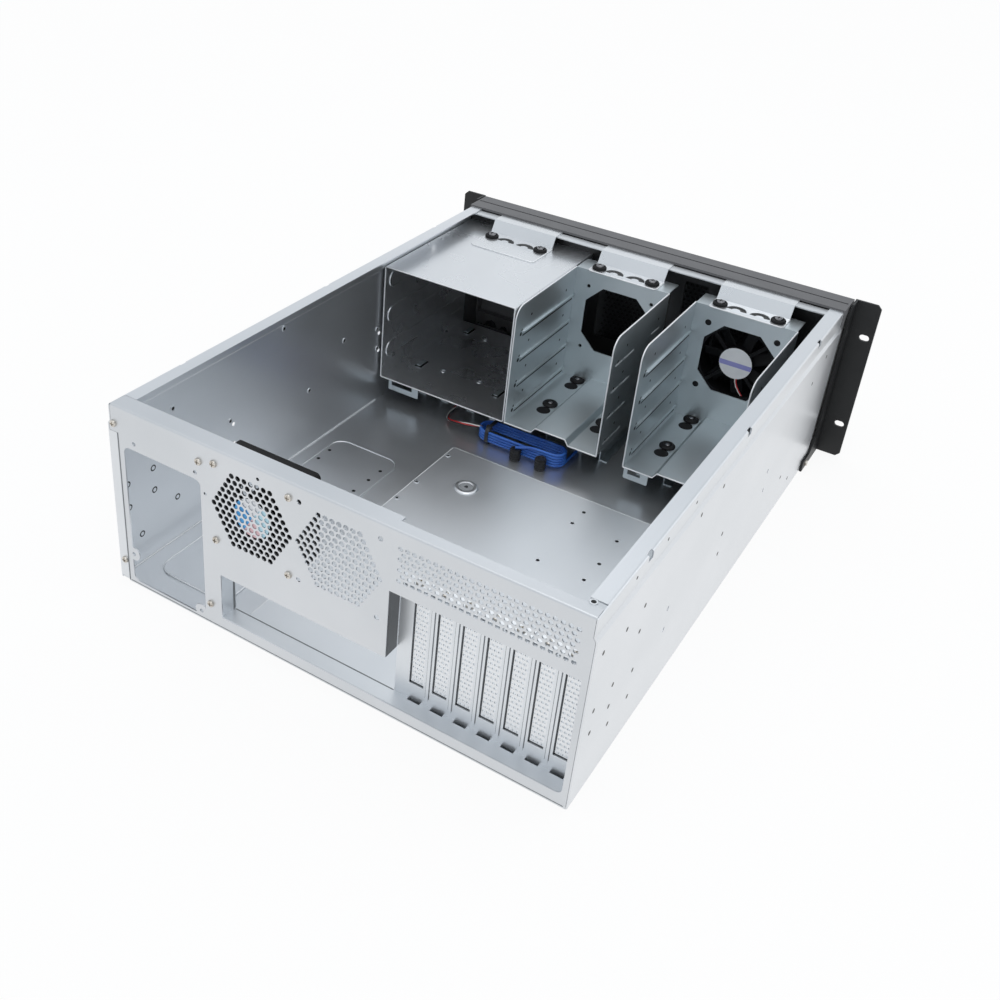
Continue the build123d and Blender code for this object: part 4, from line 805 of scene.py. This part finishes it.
def make_screws():
    """Pan-head screws where the CAD nodes have them."""
    small = pan_screw(*SMALL_SCREW)
    fan = middle("rear_fan_frame")
    rear_y = span("rear_panel")[1].y
    fan_places = [facing_rear(x, rear_y, z) for x, z in fan_corner_holes(fan.x, fan.z)]
    add_screws("fan_screws", small, fan_places, "rear_fan_screws", SCREW)
    low, high = span("rear_panel_screws")
    aside, rise = PANEL_SCREW_INSET
    edge, post = high.x - aside, low.x + aside
    top, foot = high.z - rise, low.z + rise
    rear = [(edge, top), (PANEL_SCREW_X, top), (post, foot), (edge, foot)]
    rear_places = [facing_rear(x, rear_y, z) for x, z in rear]
    add_screws("panel_screws", small, rear_places, "rear_panel_screws", SCREW)
    low, high = span("slot_cover_screws")
    seats = [at(middle(f"slot_cover_{i}").x, (low.y + high.y) / 2, high.z - SMALL_SCREW[1])
             for i in SLOT_INDEXES]
    add_screws("cover_screws", small, seats, "slot_cover_screws", SCREW)


def add_screws(name, mesh, places, node, material):
    """One piece of equal screws, in the place of a CAD node."""
    piece = add(name, copies(mesh, places), material, smooth=35)
    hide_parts(node)


# Leads

def route(name, points, radius=0.0):
    """A lead's line: one open spline through given points in millimetres."""
    curve = bpy.data.curves.new(name, "CURVE")
    curve.dimensions = "3D"
    curve.bevel_depth = radius * MM
    curve.bevel_resolution = 3
    spline = curve.splines.new("NURBS")
    spline.points.add(len(points) - 1)
    for point, place in zip(spline.points, points):
        point.co = (*(Vector(place) * MM), 1)
    spline.order_u = 3
    spline.use_endpoint_u = True
    return bpy.data.objects.new(name, curve)


def line_points(points):
    """Points that lie on a lead's spline, in millimetres."""
    holder = route("line", points)
    mesh = bpy.data.meshes.new_from_object(holder)
    places = [vertex.co / MM for vertex in mesh.vertices]
    bpy.data.meshes.remove(mesh)
    bpy.data.objects.remove(holder)
    return places


def tube(places, radius, sides=8, aside=0.0, phase=0.0, twist=0.0):
    """A round tube along points, set aside from their line and wound about it."""
    form = bmesh.new()
    rings = []
    normal = None
    turned = phase
    for i, place in enumerate(places):
        ahead = (places[min(i + 1, len(places) - 1)] - places[max(i - 1, 0)]).normalized()
        if normal is None:
            normal = ahead.orthogonal().normalized()
        else:
            turned += twist * (place - places[i - 1]).length
            normal = (normal - ahead * normal.dot(ahead)).normalized()
        side = ahead.cross(normal)
        centre = place + (normal * cos(turned) + side * sin(turned)) * aside
        circle = ring(0, 0, radius, sides)
        rings.append([form.verts.new(centre + normal * x + side * y) for x, y in circle])
    return skin(form, rings)


def hank_points():
    """Turns of the folded lead: a flat coil that climbs by one lead per turn."""
    low, high = span("lead_hank")
    radius = (high.y - low.y) / 2 - LEAD_R
    reach = radius / cos(pi / 8)
    y = (low.y + high.y) / 2
    ends = {"left": low.x + LEAD_R + radius, "right": high.x - LEAD_R - radius}
    corners = [("left", a) for a in (202.5, 157.5, 112.5, 67.5)]
    corners += [("right", a) for a in (112.5, 67.5, 22.5, -22.5, -67.5, -112.5)]
    corners += [("left", a) for a in (-67.5, -112.5)]
    points = []
    for step in range(HANK_TURNS * len(corners) + HANK_LAST_CORNERS):
        end, angle = corners[step % len(corners)]
        turn = radians(angle)
        height = HANK_FOOT_Z + HANK_CLIMB * step / len(corners)
        points.append((ends[end] + reach * cos(turn), y + reach * sin(turn), height))
    return points


def make_panel_lead(plugs, tie):
    """The blue lead, from the front wall through its folded part to a plug."""
    points = [*PANEL_ROUTE, *hank_points(), *PLUG_RUN]
    lead = route("panel_cable", points, LEAD_R)
    lead.data.materials.append(BLUE)
    bpy.context.collection.objects.link(lead)
    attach(lead, "case")
    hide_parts("panel_lead", "lead_hank")


def make_wires(name, points, radius, looks, node, with_pieces=()):
    """A bundle of thin wires wound about one line."""
    places = line_points(points)
    wire = radius * WIRE_SHARE
    form = bmesh.new()
    for index, look in enumerate(looks):
        strand = tube(places, wire, 8, radius - wire, 2 * pi * index / len(looks), WIRE_TWIST)
        start = len(form.faces)
        form.from_mesh(strand)
        form.faces.ensure_lookup_table()
        for face in form.faces[start:]:
            face.material_index = index
        bpy.data.meshes.remove(strand)
    mesh = bpy.data.meshes.new(name)
    form.to_mesh(mesh)
    form.free()
    for look in looks:
        mesh.materials.append(look)
    wires = add(name, mesh, looks[0], smooth=60)
    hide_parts(node)


def make_plugs():
    """Two ribbed round plugs."""
    low, high = span("lead_plugs")
    radius = (high.y - low.y) / 2
    height = high.z - low.z
    step = height / (2 * PLUG_RIBS + 1)
    core = radius - PLUG_RIB
    profile = [(core, 0)]
    for rib in range(PLUG_RIBS):
        foot = (2 * rib + 1) * step
        profile += [(core, foot), (radius, foot), (radius, foot + step), (core, foot + step)]
    mouth, bore = (radius * share for share in PLUG_BORE_SHARES)
    bottom = height - PLUG_BORE_DEPTH
    profile += [(core, height), (mouth, height), (bore, bottom), (0, bottom)]
    y = (low.y + high.y) / 2
    places = [at(x, y, low.z) for x in (low.x + radius, high.x - radius)]
    piece = add("round_plugs", copies(lathe(profile, 28), places), PLUG, smooth=30)
    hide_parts("lead_plugs")
    return piece


def make_tie():
    """Strap around the folded lead, with its lock."""
    low, high = span("lead_tie")
    y, z = (low.y, high.y), (low.z, high.z)
    inner = rounded(*((r[0] + TIE_SHEET, r[1] - TIE_SHEET) for r in (y, z)), TIE_CORNER - TIE_SHEET)
    band = plate([rounded(y, z, TIE_CORNER), inner], high.x - low.x)
    lock = plate([rounded(*((-half, half) for half in TIE_LOCK_HALF), TIE_LOCK_CORNER)], TIE_LOCK_HEIGHT)
    x = (low.x + high.x) / 2
    piece = add("lead_strap", joined([
        (band, facing_side(x)),
        (lock, at(x, high.y - TIE_LOCK_INSET[0], high.z - TIE_LOCK_INSET[1])),
    ]), PLUG)
    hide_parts("lead_tie")
    return piece


def make_fan_plug():
    """Small white housing with two latching ribs."""
    low, high = span("fan_plug")
    height = FAN_PLUG_RIB_HEIGHT
    body = plate([rounded((low.x, high.x), (low.y, high.y), FAN_PLUG_CORNER)], high.z - low.z - height)
    rib = plate([rounded(*((-half, half) for half in FAN_PLUG_RIB_HALF), FAN_PLUG_RIB_CORNER)], height)
    centre = (low + high) / 2
    parts = [(body, at(0, 0, centre.z - height / 2))]
    for side in (-1, 1):
        parts.append((rib, at(centre.x + side * FAN_PLUG_RIB_ASIDE, centre.y, high.z - height / 2)))
    piece = add("fan_connector", joined(parts), IVORY)
    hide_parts("fan_plug")
    return piece


def make_leads():
    make_panel_lead(make_plugs(), make_tie())
    make_wires("switch_wires", SWITCH_ROUTE, LEAD_R, [WHITE, RED, BLACK], "switch_lead")
    make_wires("fan_wires", FAN_ROUTE, FAN_LEAD_R, [RED, BLACK, WHITE], "fan_lead",
               (make_fan_plug(),))


# Hangers, washers and grommets

def hanger_slot(x, y, side):
    """Curved slot beside a hanger screw."""
    centre = x + side * HANGER_SLOT_ASIDE
    half = HANGER_SLOT_WIDTH / 2
    start, end = HANGER_SLOT_TURN
    outer = arc(centre, y + HANGER_SLOT_DROP, HANGER_SLOT_R + half, start, end, 12)
    inner = arc(centre, y + HANGER_SLOT_DROP, HANGER_SLOT_R - half, end, start, 12)
    return outer + inner


def make_hanger(name):
    """One joggled plate with two curved slots."""
    node = "hanger_" + name
    low, high = span(node)
    x = (low.x + high.x) / 2
    bend = low.y + HANGER_BEND
    slope = bend + HANGER_SLOPE
    slots = [hanger_slot(x + side * HANGER_SCREWS / 2, HANGER_SCREW_Y, -side) for side in (-1, 1)]
    seat = plate([rounded((low.x, high.x), (slope, high.y), HANGER_CORNER), *slots], SHEET)
    lap = slope + HANGER_LAP
    outline = [(low.y, high.z), (bend, high.z), (lap, low.z + SHEET), (lap, low.z),
               (slope - HANGER_UNDERCUT, low.z), (bend - HANGER_UNDERCUT, high.z - SHEET),
               (low.y, high.z - SHEET)]
    piece = add(node + "_plate", joined([
        (seat, at(0, 0, low.z + SHEET / 2)),
        (along_x(outline, low.x, high.x), Matrix()),
    ]), BRIGHT)
    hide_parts(node)
    # Painted shade: dark films under the curved slots
    floors = [(film(slot), at(0, 0, low.z + FILM)) for slot in slots]
    add(node + "_slot_shade", joined(floors), HOLE_SHADE)


def make_washers():
    """Rubber washers with dark screws in them."""
    low, high = span("hanger_washers")
    edge = (high.y - low.y) / 2
    rim = [(edge - inset, height) for inset, height in WASHER_RIM]
    washer = lathe([(WASHER_BORE, 0), *rim, (WASHER_BORE, WASHER_RIM[-1][1])], 28)
    places = []
    for name in HANGERS:
        x = middle("hanger_" + name).x
        places += [at(x + side * HANGER_SCREWS / 2, HANGER_SCREW_Y, low.z) for side in (-1, 1)]
    piece = add("rubber_washers", copies(washer, places), RUBBER, smooth=35)
    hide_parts("hanger_washers")
    lift = at(0, 0, high.z - low.z - WASHER_SCREW_SINK)
    screw = pan_screw(*WASHER_SCREW)
    add_screws("washer_screws", screw, [place @ lift for place in places], "hanger_screws", STEEL)


def make_grommets():
    """Domed rubber grommets in the cage floors, with dark discs of painted shade over the open ends of
    their keyholes.
    """
    low, high = span("cage_grommets")
    foot = low.z + CAGE_SHEET
    dome = lathe([(GROMMET_DOME[0][0], -CAGE_SHEET), *GROMMET_DOME], 28)
    places = []
    for cage in NARROW_CAGES:
        x = middle(cage).x
        places += [at(x + side * GROMMET_ASIDE, y, foot) for side in (-1, 1)
                   for y in (high.y - GROMMET_R, low.y + GROMMET_R)]
    piece = add("domed_grommets", copies(dome, places), RUBBER, smooth=40)
    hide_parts("cage_grommets")
    add("grommet_rivets", copies(lathe(GROMMET_RIVET, 20), places), STEEL, smooth=35)
    # Painted shade: dark discs over the keyholes' open ends
    lobe = film(ring(0, 0, LOBE_R, 24))
    beside = at(0, LOBE_REACH, LOBE_LIFT)
    add("keyhole_lobe_shade", copies(lobe, [place @ beside for place in places]), RUBBER)


# Fans

def make_fan_details():
    """Labels on the motors, wires at the front fan's hub, push pins and the rear fan's deeper rim."""
    front_high = span("front_fan_frame")[1]
    front = middle("front_fan_frame")
    label = standing(front_high.y + LABEL_SHEET / 2) @ at(front.x, front.z, 0)
    add("front_fan_label", plate([ring(0, 0, LABEL_R, 32)], LABEL_SHEET), LABEL_WHITE, label)
    start, end = BAND_TURN
    reach = LABEL_R - BAND_INSET
    band = arc(0, 0, reach, start, end) + arc(0, 0, reach, 180 - end, 180 - start)
    add("front_fan_band", film(band), LABEL_VIOLET, label @ at(0, 0, -BAND_LIFT))
    for name, look, aside in (("red", RED, 0), ("white", WHITE, FAN_TAIL_ASIDE)):
        tail = [Vector((front.x + x + aside, front_high.y + y, front.z + z)) for x, y, z in FAN_TAIL]
        add("fan_tail_" + name, tube(tail, FAN_TAIL_R), look, smooth=60)
    rear = middle("rear_fan_frame")
    rear_low, rear_high = span("rear_fan_frame")
    label = standing(rear_high.y) @ at(rear.x, rear.z, 0)
    fields = {
        "rear_fan_label": (LABEL_BLUE, -60, 50),
        "rear_fan_crown": (LABEL_WHITE, 50, 125),
        "rear_fan_field": (LABEL_CYAN, 125, 230),
        "rear_fan_band": (LABEL_RED, 230, 300),
    }
    for name, (look, start, end) in fields.items():
        add(name, plate([[(0, 0), *arc(0, 0, LABEL_R, start, end, 12)]], LABEL_SHEET), look, label)
    half = (rear_high.x - rear_low.x) / 2
    square = rounded((-half, half), (-half, half), FAN_RIM_CORNER)
    rim = plate([square, ring(0, 0, half - FAN_RIM_WALL, 48)], FAN_RIM)
    add("rear_fan_rim", rim, FAN, standing(rear_low.y - FAN_RIM / 2) @ at(rear.x, rear.z, 0))
    seat = span("front_fan_pins")[1].y - PIN_HEAD
    places = [facing_rear(x, seat, z) for x, z in fan_corner_holes(front.x, front.z)]
    piece = add("fan_push_pins", copies(lathe(PUSH_PIN, 20), places), RUBBER, smooth=35)
    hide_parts("front_fan_pins")


# Front

def make_front():
    """Perforated screen behind the bezel's slots, and the seam along its top."""
    low, high = span("bezel")
    x = (low.x + SCREEN_INSET[0], span("bay_cage")[0].x - SCREEN_INSET[1])
    z = SCREEN_Z
    pitch = (SCREEN_PITCH, SCREEN_PITCH * sin(radians(60)))
    columns, rows = (int((r[1] - r[0]) / step) - 1 for r, step in zip((x, z), pitch))
    spots = staggered((x[0] + pitch[0], z[0] + pitch[1]), columns, rows, pitch)
    holes = [ring(*spot, SCREEN_HOLE_R, 6) for spot in spots]
    add("bezel_screen", plate([box(x, z), *holes], SCREEN_SHEET), PAINT, standing(low.y + SCREEN_DEPTH))
    filter_sheet = plate([rounded(x, z, FILTER_CORNER)], FILTER_THICK)
    add("bezel_filter", filter_sheet, FOAM, standing(low.y + FILTER_DEPTH))
    seam_y = (low.y + high.y) / 2
    seam_x = (low.x + LINE_INSET, high.x - LINE_INSET)
    seam = plate([box(seam_x, (-BEZEL_SEAM_HALF, BEZEL_SEAM_HALF))], BEZEL_SEAM_SHEET)
    add("bezel_seam", seam, RUBBER, at(0, seam_y, high.z + FILM / 2))


# Marks pressed into the sheet, with painted shade in its openings and painted highlight on its edges

def make_dots():
    """Dark discs of painted shade for small holes, and pressed collars, in the walls, floor, tray and
    cages.
    """
    hole, small, wide = disc(HOLE_R, 16), disc(FINE_HOLE_R, 14), disc(WIDE_HOLE_R, 20)
    collar = lathe(COLLAR, 20)
    to_right = Matrix.Rotation(radians(-90), 4, "Y")
    to_left = Matrix.Rotation(radians(90), 4, "Y")
    tub_low, tub_high = span("chassis_tub")
    inner = tub_high.x - SHEET
    bay_floor = span("bay_cage")[0].z + CAGE_SHEET
    dark, bright = [], []
    on_walls = [
        (dark, hole, tub_low.x, to_right, RIGHT_WALL_HOLES),
        (dark, hole, tub_low.x + SHEET, to_left, RIGHT_WALL_HOLES),
        (dark, small, tub_low.x + SIDE_STEP, to_right, STRIP_HOLES),
        (dark, hole, tub_high.x, to_left, LEFT_WALL_COLLARS + LEFT_WALL_RINGS),
        (bright, collar, inner, to_right, LEFT_WALL_COLLARS),
        (dark, hole, inner - FILM_LIFT, to_right, LEFT_WALL_COLLARS),
        (dark, wide, inner, to_right, LEFT_WALL_RINGS),
        (bright, hole, inner - FILM_LIFT, to_right, LEFT_WALL_RINGS),
    ]
    for group, mark, x, turn, places in on_walls:
        group.extend((mark, at(x, y, z) @ turn) for y, z in places)
    on_floors = [
        (dark, hole, FLOOR_EMBOSS_Z, FLOOR_HOLES),
        (dark, hole, TRAY_TOP_Z, TRAY_HOLES),
        (bright, collar, TRAY_TOP_Z, TRAY_TABS),
        (dark, small, TRAY_TOP_Z + FILM_LIFT, TRAY_TABS),
        (bright, collar, bay_floor, BAY_DOTS),
    ]
    for group, mark, z, places in on_floors:
        group.extend((mark, at(x, y, z)) for x, y in places)
    lid_place = at(*LID_SCREW, span("rear_panel")[1].z)
    bright.append((collar, lid_place))
    dark.append((hole, lid_place @ at(0, 0, FILM_LIFT)))
    for cage in NARROW_CAGES:
        low, high = span(cage)
        for level in range(RIB_LEVELS):
            z = low.z + RIB_BASE + level * RIB_PITCH
            for y, rise in CAGE_DOTS:
                for x in (high.x - CAGE_SHEET, low.x):
                    dark.append((small, at(x, high.y + y, z + rise) @ to_right))
    # The dark discs paint the shade seen in the holes
    add("hole_shade_discs", joined(dark), HOLE_SHADE, smooth=35)
    add("wall_collars", joined(bright), ZINC, smooth=35)


def make_beads():
    """Beads pressed into the sheet: the floor's field and the channels of the wide cage."""
    bead_z = FLOOR_EMBOSS_Z - FIELD_BEAD_SINK
    outline = [Vector((x, y, bead_z)) for x, y in rounded(FIELD_X, FIELD_Y, FIELD_CORNER)]
    add("floor_bead", tube([*outline, *outline[:2]], FIELD_BEAD_R, 10), BRIGHT, smooth=60)
    low, high = span("bay_cage")
    wall = high.x - CAGE_SHEET
    half = CHANNEL_HEIGHT / 2
    start, end = low.y + CHANNEL_INSET, high.y - CHANNEL_INSET
    beads = []
    for z in CHANNEL_Z:
        path = [(start, z + half), *arc(end - half, z, half, 90, -90, 12), (start, z - half)]
        beads.append((tube([Vector((wall, *point)) for point in path], CHANNEL_BEAD_R, 10), Matrix()))
    add("cage_channels", joined(beads), BRIGHT, smooth=60)


def make_tray_boss():
    """Rounded ring pressed up around the tray's boss."""
    x = span("chassis_tub")[1].x - SHEET - BOSS_FROM_WALL
    add("tray_boss_rim", lathe(BOSS_RIM, 36), BRIGHT, at(x, BOSS_Y, TRAY_TOP_Z), smooth=60)


def make_bay_details():
    """Plain channel floors in the wide cage's wall, and lanced tabs in its floor with painted shade in
    the slots behind them.
    """
    low, high = span("bay_cage")
    half = CHANNEL_HEIGHT / 2
    wall = facing_side(high.x - CAGE_SHEET - CHANNEL_SINK)
    strips = []
    for z in CHANNEL_Z:
        y = (low.y + CHANNEL_INSET, high.y - CHANNEL_INSET)
        outline = rounded(y, (z - half, z + half), half - END_FLAT)
        strips.append((plate([outline], CHANNEL_SHEET), wall))
    add("channel_floors", joined(strips), BRIGHT)
    tab = plate([rounded(*BAY_TAB, BAY_TAB_CORNER)], BAY_TAB_SHEET)
    # Painted shade: dark films in the slots that the tabs leave
    slot = film(rounded(*BAY_TAB_SLOT, BAY_TAB_CORNER))
    floor = low.z + CAGE_SHEET
    add("bay_tabs", copies(tab, [at(x, y, floor + BAY_TAB_RISE) for x, y in BAY_TABS]), CAGE)
    add("bay_tab_slot_shade", copies(slot, [at(x, y, floor + FILM_LIFT) for x, y in BAY_TABS]), HOLE_SHADE)


def make_cage_details():
    """Feet of the narrow cages' front plates; dark strips of painted shade for the lanced gaps along
    their walls, and bright bars of painted light on the walls' outer faces.
    """
    feet, gaps, bars = [], [], []
    for cage in NARROW_CAGES:
        low, high = span(cage)
        x = (low.x + high.x) / 2
        front = high.y - DRIVE_DEPTH
        floor = low.z + CAGE_SHEET
        for side in (-1, 1):
            reach = sorted((x + side * CHANNEL_HALF[0], x + side * (high.x - x - CAGE_SHEET)))
            foot = plate([box(reach, (floor, floor + CHANNEL_RISE))], CAGE_SHEET)
            feet.append((foot, standing(front + CAGE_SHEET / 2)))
        start = front + RIB_FROM_FRONT
        stop = start + RIB_LENGTH
        for level in range(RIB_LEVELS):
            z = low.z + RIB_BASE + level * RIB_PITCH
            gap_top = z - RIB_GAP_DROP
            gap = film(rounded((start, stop), (gap_top - RIB_GAP, gap_top), (RIB_GAP - END_FLAT) / 2))
            end = film(ring(stop + RIB_END[0], z + RIB_END[1], RIB_END_R, 16))
            for wall in (high.x - CAGE_SHEET - FILM_LIFT, low.x + CAGE_SHEET + FILM_LIFT):
                gaps += [(gap, facing_side(wall)), (end, facing_side(wall))]
            # Painted light from the lanced gaps, as bright bars on the outer faces
            for y, half in OUTER_LIGHT_BARS:
                bar_y = (high.y + y - half, high.y + y + half)
                bar = film(rounded(bar_y, (z - OUTER_LIGHT_BAR_HEIGHT, z), OUTER_LIGHT_BAR_CORNER))
                bars += [(bar, facing_side(wall)) for wall in (low.x - FILM_LIFT, high.x + FILM_LIFT)]
    add("cage_feet", joined(feet), CAGE)
    add("rib_gap_shade", joined(gaps), HOLE_SHADE)
    add("rib_light_bars", joined(bars), HIGHLIGHT_WHITE)


def wall_edge(x, low, high):
    """Free edge of a narrow cage's wall: up the mouth, round the corner and along the top."""
    corner = arc(high.y - WALL_CORNER, high.z - WALL_CORNER, WALL_CORNER, 0, 90, 8)
    line = [(high.y, low.z + EDGE_INSET), *corner, (high.y - DRIVE_DEPTH + EDGE_INSET, high.z)]
    return [Vector((x, y - EDGE_R / 3, z - EDGE_R / 3)) for y, z in line]


def make_edges():
    """Rounded edges of the sheets and folds, in a colour whiter than the sheet: real rounding with
    painted highlight.
    """
    half_sheet = CAGE_SHEET / 2
    cut_off = EDGE_CHAMFER
    low, high = span("bay_cage")
    loop = rounded(*((low[i] + half_sheet, high[i] - half_sheet) for i in (0, 2)), BAY_MOUTH_R)
    lines = [[Vector((x, high.y, z)) for x, z in [*loop, loop[0]]]]
    for cage in NARROW_CAGES:
        low, high = span(cage)
        x = (low.x + high.x) / 2
        half = (high.x - low.x) / 2 - half_sheet
        lines += [wall_edge(x + side * half, low, high) for side in (-1, 1)]
        foot = low.z + half_sheet
        profile = [(half, foot), (CHANNEL_HALF[1], foot), (CHANNEL_HALF[0], foot + CHANNEL_RISE)]
        profile += [(-px, pz) for px, pz in reversed(profile)]
        lines.append([Vector((x + px, high.y, pz)) for px, pz in profile])
    for name in HANGERS:
        low, high = span("hanger_" + name)
        start = low.y + HANGER_BEND + HANGER_SLOPE + HANGER_LAP
        corners = [(low.x, start), (low.x, high.y - cut_off), (low.x + cut_off, high.y),
                   (high.x - cut_off, high.y), (high.x, high.y - cut_off), (high.x, start)]
        lines.append([Vector((x, y, low.z + half_sheet)) for x, y in corners])
    inner = span("chassis_tub")[1].x - SHEET - EDGE_R / 2
    lines.append([Vector((inner, y, SHEET + EDGE_R / 2)) for y in FOLD_LINE_Y])
    low, high = span("board_tray")
    corners = [(high.x, high.y - cut_off), (high.x, low.y + cut_off), (high.x - cut_off, low.y),
               (low.x + cut_off, low.y)]
    lines.append([Vector((x, y, TRAY_TOP_Z - EDGE_R * EDGE_SINK_SHARE)) for x, y in corners])
    add("sheet_edge_highlights", joined([(tube(line, EDGE_R), Matrix()) for line in lines]), HIGHLIGHT_WHITE, smooth=60)


def make_cage_lips():
    """Folded lips below the cage floors."""
    parts = []
    for x0, x1 in CAGE_LIPS:
        outline = rounded((x0, x1), LIP_Z, LIP_CORNER)
        slot = rounded((x0 + LIP_SLOT_INSET[0], x1 - LIP_SLOT_INSET[1]), LIP_SLOT_Z, LIP_SLOT_CORNER)
        parts.append((plate([outline, slot], CAGE_SHEET), standing(LIP_Y)))
    add("cage_lips", joined(parts), CAGE)


def make_slot_lines():
    """Painted shade: dark strips on the covers beside and below the slot windows, and dark lines along
    both sides of the ribs between them.
    """
    face = span("slot_cover_1")[0].y + COVER_SHEET
    on_cover, on_rib = standing(face + SHADOW_GAP_LIFT), standing(face + SHEET + FILM / 2)
    gaps, rib_shade_strips = [], []
    for index in SLOT_INDEXES:
        x = middle(f"slot_cover_{index}").x
        left = x + SLOT_WINDOW / 2
        # Painted shadow where the window's edge shades the cover
        edge = film(box((left - SHADOW_GAP, left), SLOT_Z))
        foot = film(box((x - SLOT_WINDOW / 2, left), (SLOT_Z[0], SLOT_Z[0] + SHADOW_GAP)))
        gaps += [(edge, on_cover), (foot, on_cover)]
    # Painted shade in the creases along both sides of each rib
    for index in SLOT_INDEXES[:-1]:
        x = middle(f"slot_cover_{index}").x + SLOT_PITCH / 2
        for side in (-1, 1):
            line_x = x + side * (RIB_WIDTH + RIB_SHADE) / 2
            shade_x = (line_x - RIB_SHADE / 2, line_x + RIB_SHADE / 2)
            rib_shade_strips.append((film(box(shade_x, (SLOT_Z[0] - RIB_SHADE_DROP, SLOT_Z[1]))), on_rib))
    add("slot_shadow_gaps", joined(gaps), SHADOW_GAP_GREY)
    add("slot_rib_shade", joined(rib_shade_strips), SEAM_AND_SHADE_GREY)


# Stage

def make_camera():
    """The camera that was fitted to the photograph."""
    azimuth, elevation, roll = (radians(a) for a in (CAMERA_AZIMUTH, CAMERA_ELEVATION, CAMERA_ROLL))
    back = Vector((sin(azimuth) * cos(elevation), -cos(azimuth) * cos(elevation), sin(elevation)))
    right = Vector((0, 0, 1)).cross(back).normalized()
    up = back.cross(right)
    rolled_right = right * cos(roll) + up * sin(roll)
    rolled_up = up * cos(roll) - right * sin(roll)
    data = bpy.data.cameras.new("camera")
    data.sensor_width = SENSOR_WIDTH
    data.lens = FOCAL_PIXELS / IMAGE_PIXELS * SENSOR_WIDTH
    data.shift_x = 0.5 - PRINCIPAL_PIXEL / IMAGE_PIXELS
    data.shift_y = PRINCIPAL_PIXEL / IMAGE_PIXELS - 0.5
    data.clip_start = CLIP_START
    camera = bpy.data.objects.new("camera", data)
    axes = Matrix((rolled_right, rolled_up, back)).transposed()
    camera.matrix_world = Matrix.Translation(Vector(CAMERA_PLACE) * MM) @ axes.to_4x4()
    bpy.context.collection.objects.link(camera)
    bpy.context.scene.camera = camera


def make_floor():
    """A pale floor that shows as white paper and keeps the object's shadow."""
    form = bmesh.new()
    bmesh.ops.create_grid(form, x_segments=1, y_segments=1, size=FLOOR_HALF)
    floor = bpy.data.objects.new("floor", to_mesh(form, "floor"))
    material, tree, shader = new_material("floor_paper", (0.93, 0.93, 0.93), roughness=0.9)
    tint(tree, shader, noise(tree, 3, 2), (0.92, 0.92, 0.92), (0.94, 0.94, 0.94))
    paper = tree.nodes.new("ShaderNodeEmission")
    seen = tree.nodes.new("ShaderNodeMath")
    seen.operation = "MULTIPLY"
    seen.inputs[1].default_value = PAPER_SHARE
    mix = tree.nodes.new("ShaderNodeMixShader")
    tree.links.new(seen_directly(tree), seen.inputs[0])
    tree.links.new(seen.outputs["Value"], mix.inputs["Fac"])
    tree.links.new(shader.outputs["BSDF"], mix.inputs[1])
    tree.links.new(paper.outputs["Emission"], mix.inputs[2])
    tree.links.new(mix.outputs["Shader"], tree.nodes["Material Output"].inputs["Surface"])
    floor.data.materials.append(material)
    floor.location.z = -FLOOR_GAP * MM
    bpy.context.collection.objects.link(floor)


def seen_directly(tree):
    """One for rays that come from the camera, from gloss or through glass."""
    path = tree.nodes.new("ShaderNodeLightPath")
    total = path.outputs["Is Camera Ray"]
    for kind in ("Is Glossy Ray", "Is Transmission Ray"):
        either = tree.nodes.new("ShaderNodeMath")
        either.operation = "MAXIMUM"
        tree.links.new(total, either.inputs[0])
        tree.links.new(path.outputs[kind], either.inputs[1])
        total = either.outputs["Value"]
    return total


def area_light(name, place, target, size, power):
    data = bpy.data.lights.new(name, "AREA")
    data.shape = "RECTANGLE"
    data.size, data.size_y = size
    data.energy = power
    light = bpy.data.objects.new(name, data)
    light.location = place
    light.rotation_euler = (Vector(target) - Vector(place)).to_track_quat("-Z", "Y").to_euler()
    bpy.context.collection.objects.link(light)


def make_light():
    """A white room with a dimmer belt between its walls and its lit ceiling, and soft lamps."""
    world = bpy.data.worlds.new("studio")
    world.use_nodes = True
    tree = world.node_tree
    room = tree.nodes["Background"]
    coords = tree.nodes.new("ShaderNodeTexCoord")
    split = tree.nodes.new("ShaderNodeSeparateXYZ")
    shade = tree.nodes.new("ShaderNodeValToRGB")
    stops = shade.color_ramp.elements
    for position, _ in ROOM_SHADES[1:-1]:
        stops.new(position)
    for stop, (position, grey) in zip(stops, ROOM_SHADES):
        stop.position = position
        hue = DIM_TINT if grey < DIM_BELOW else BRIGHT_TINT
        stop.color = (*(grey * share for share in hue), 1)
    tree.links.new(coords.outputs["Generated"], split.inputs["Vector"])
    tree.links.new(split.outputs["Z"], shade.inputs["Fac"])
    tree.links.new(shade.outputs["Color"], room.inputs["Color"])
    bpy.context.scene.world = world
    for lamp in LAMPS:
        area_light(*lamp)


def main():
    make_camera()
    make_leads()
    dress_nodes()
    make_rear_panel()
    for index in SLOT_INDEXES:
        make_slot_cover(index)
    make_screws()
    for name in HANGERS:
        make_hanger(name)
    make_washers()
    make_grommets()
    make_fan_details()
    make_front()
    make_dots()
    make_beads()
    make_tray_boss()
    make_bay_details()
    make_cage_details()
    make_edges()
    make_cage_lips()
    make_slot_lines()
    make_floor()
    make_light()
    bpy.context.scene.view_settings.view_transform = "Standard"


main()
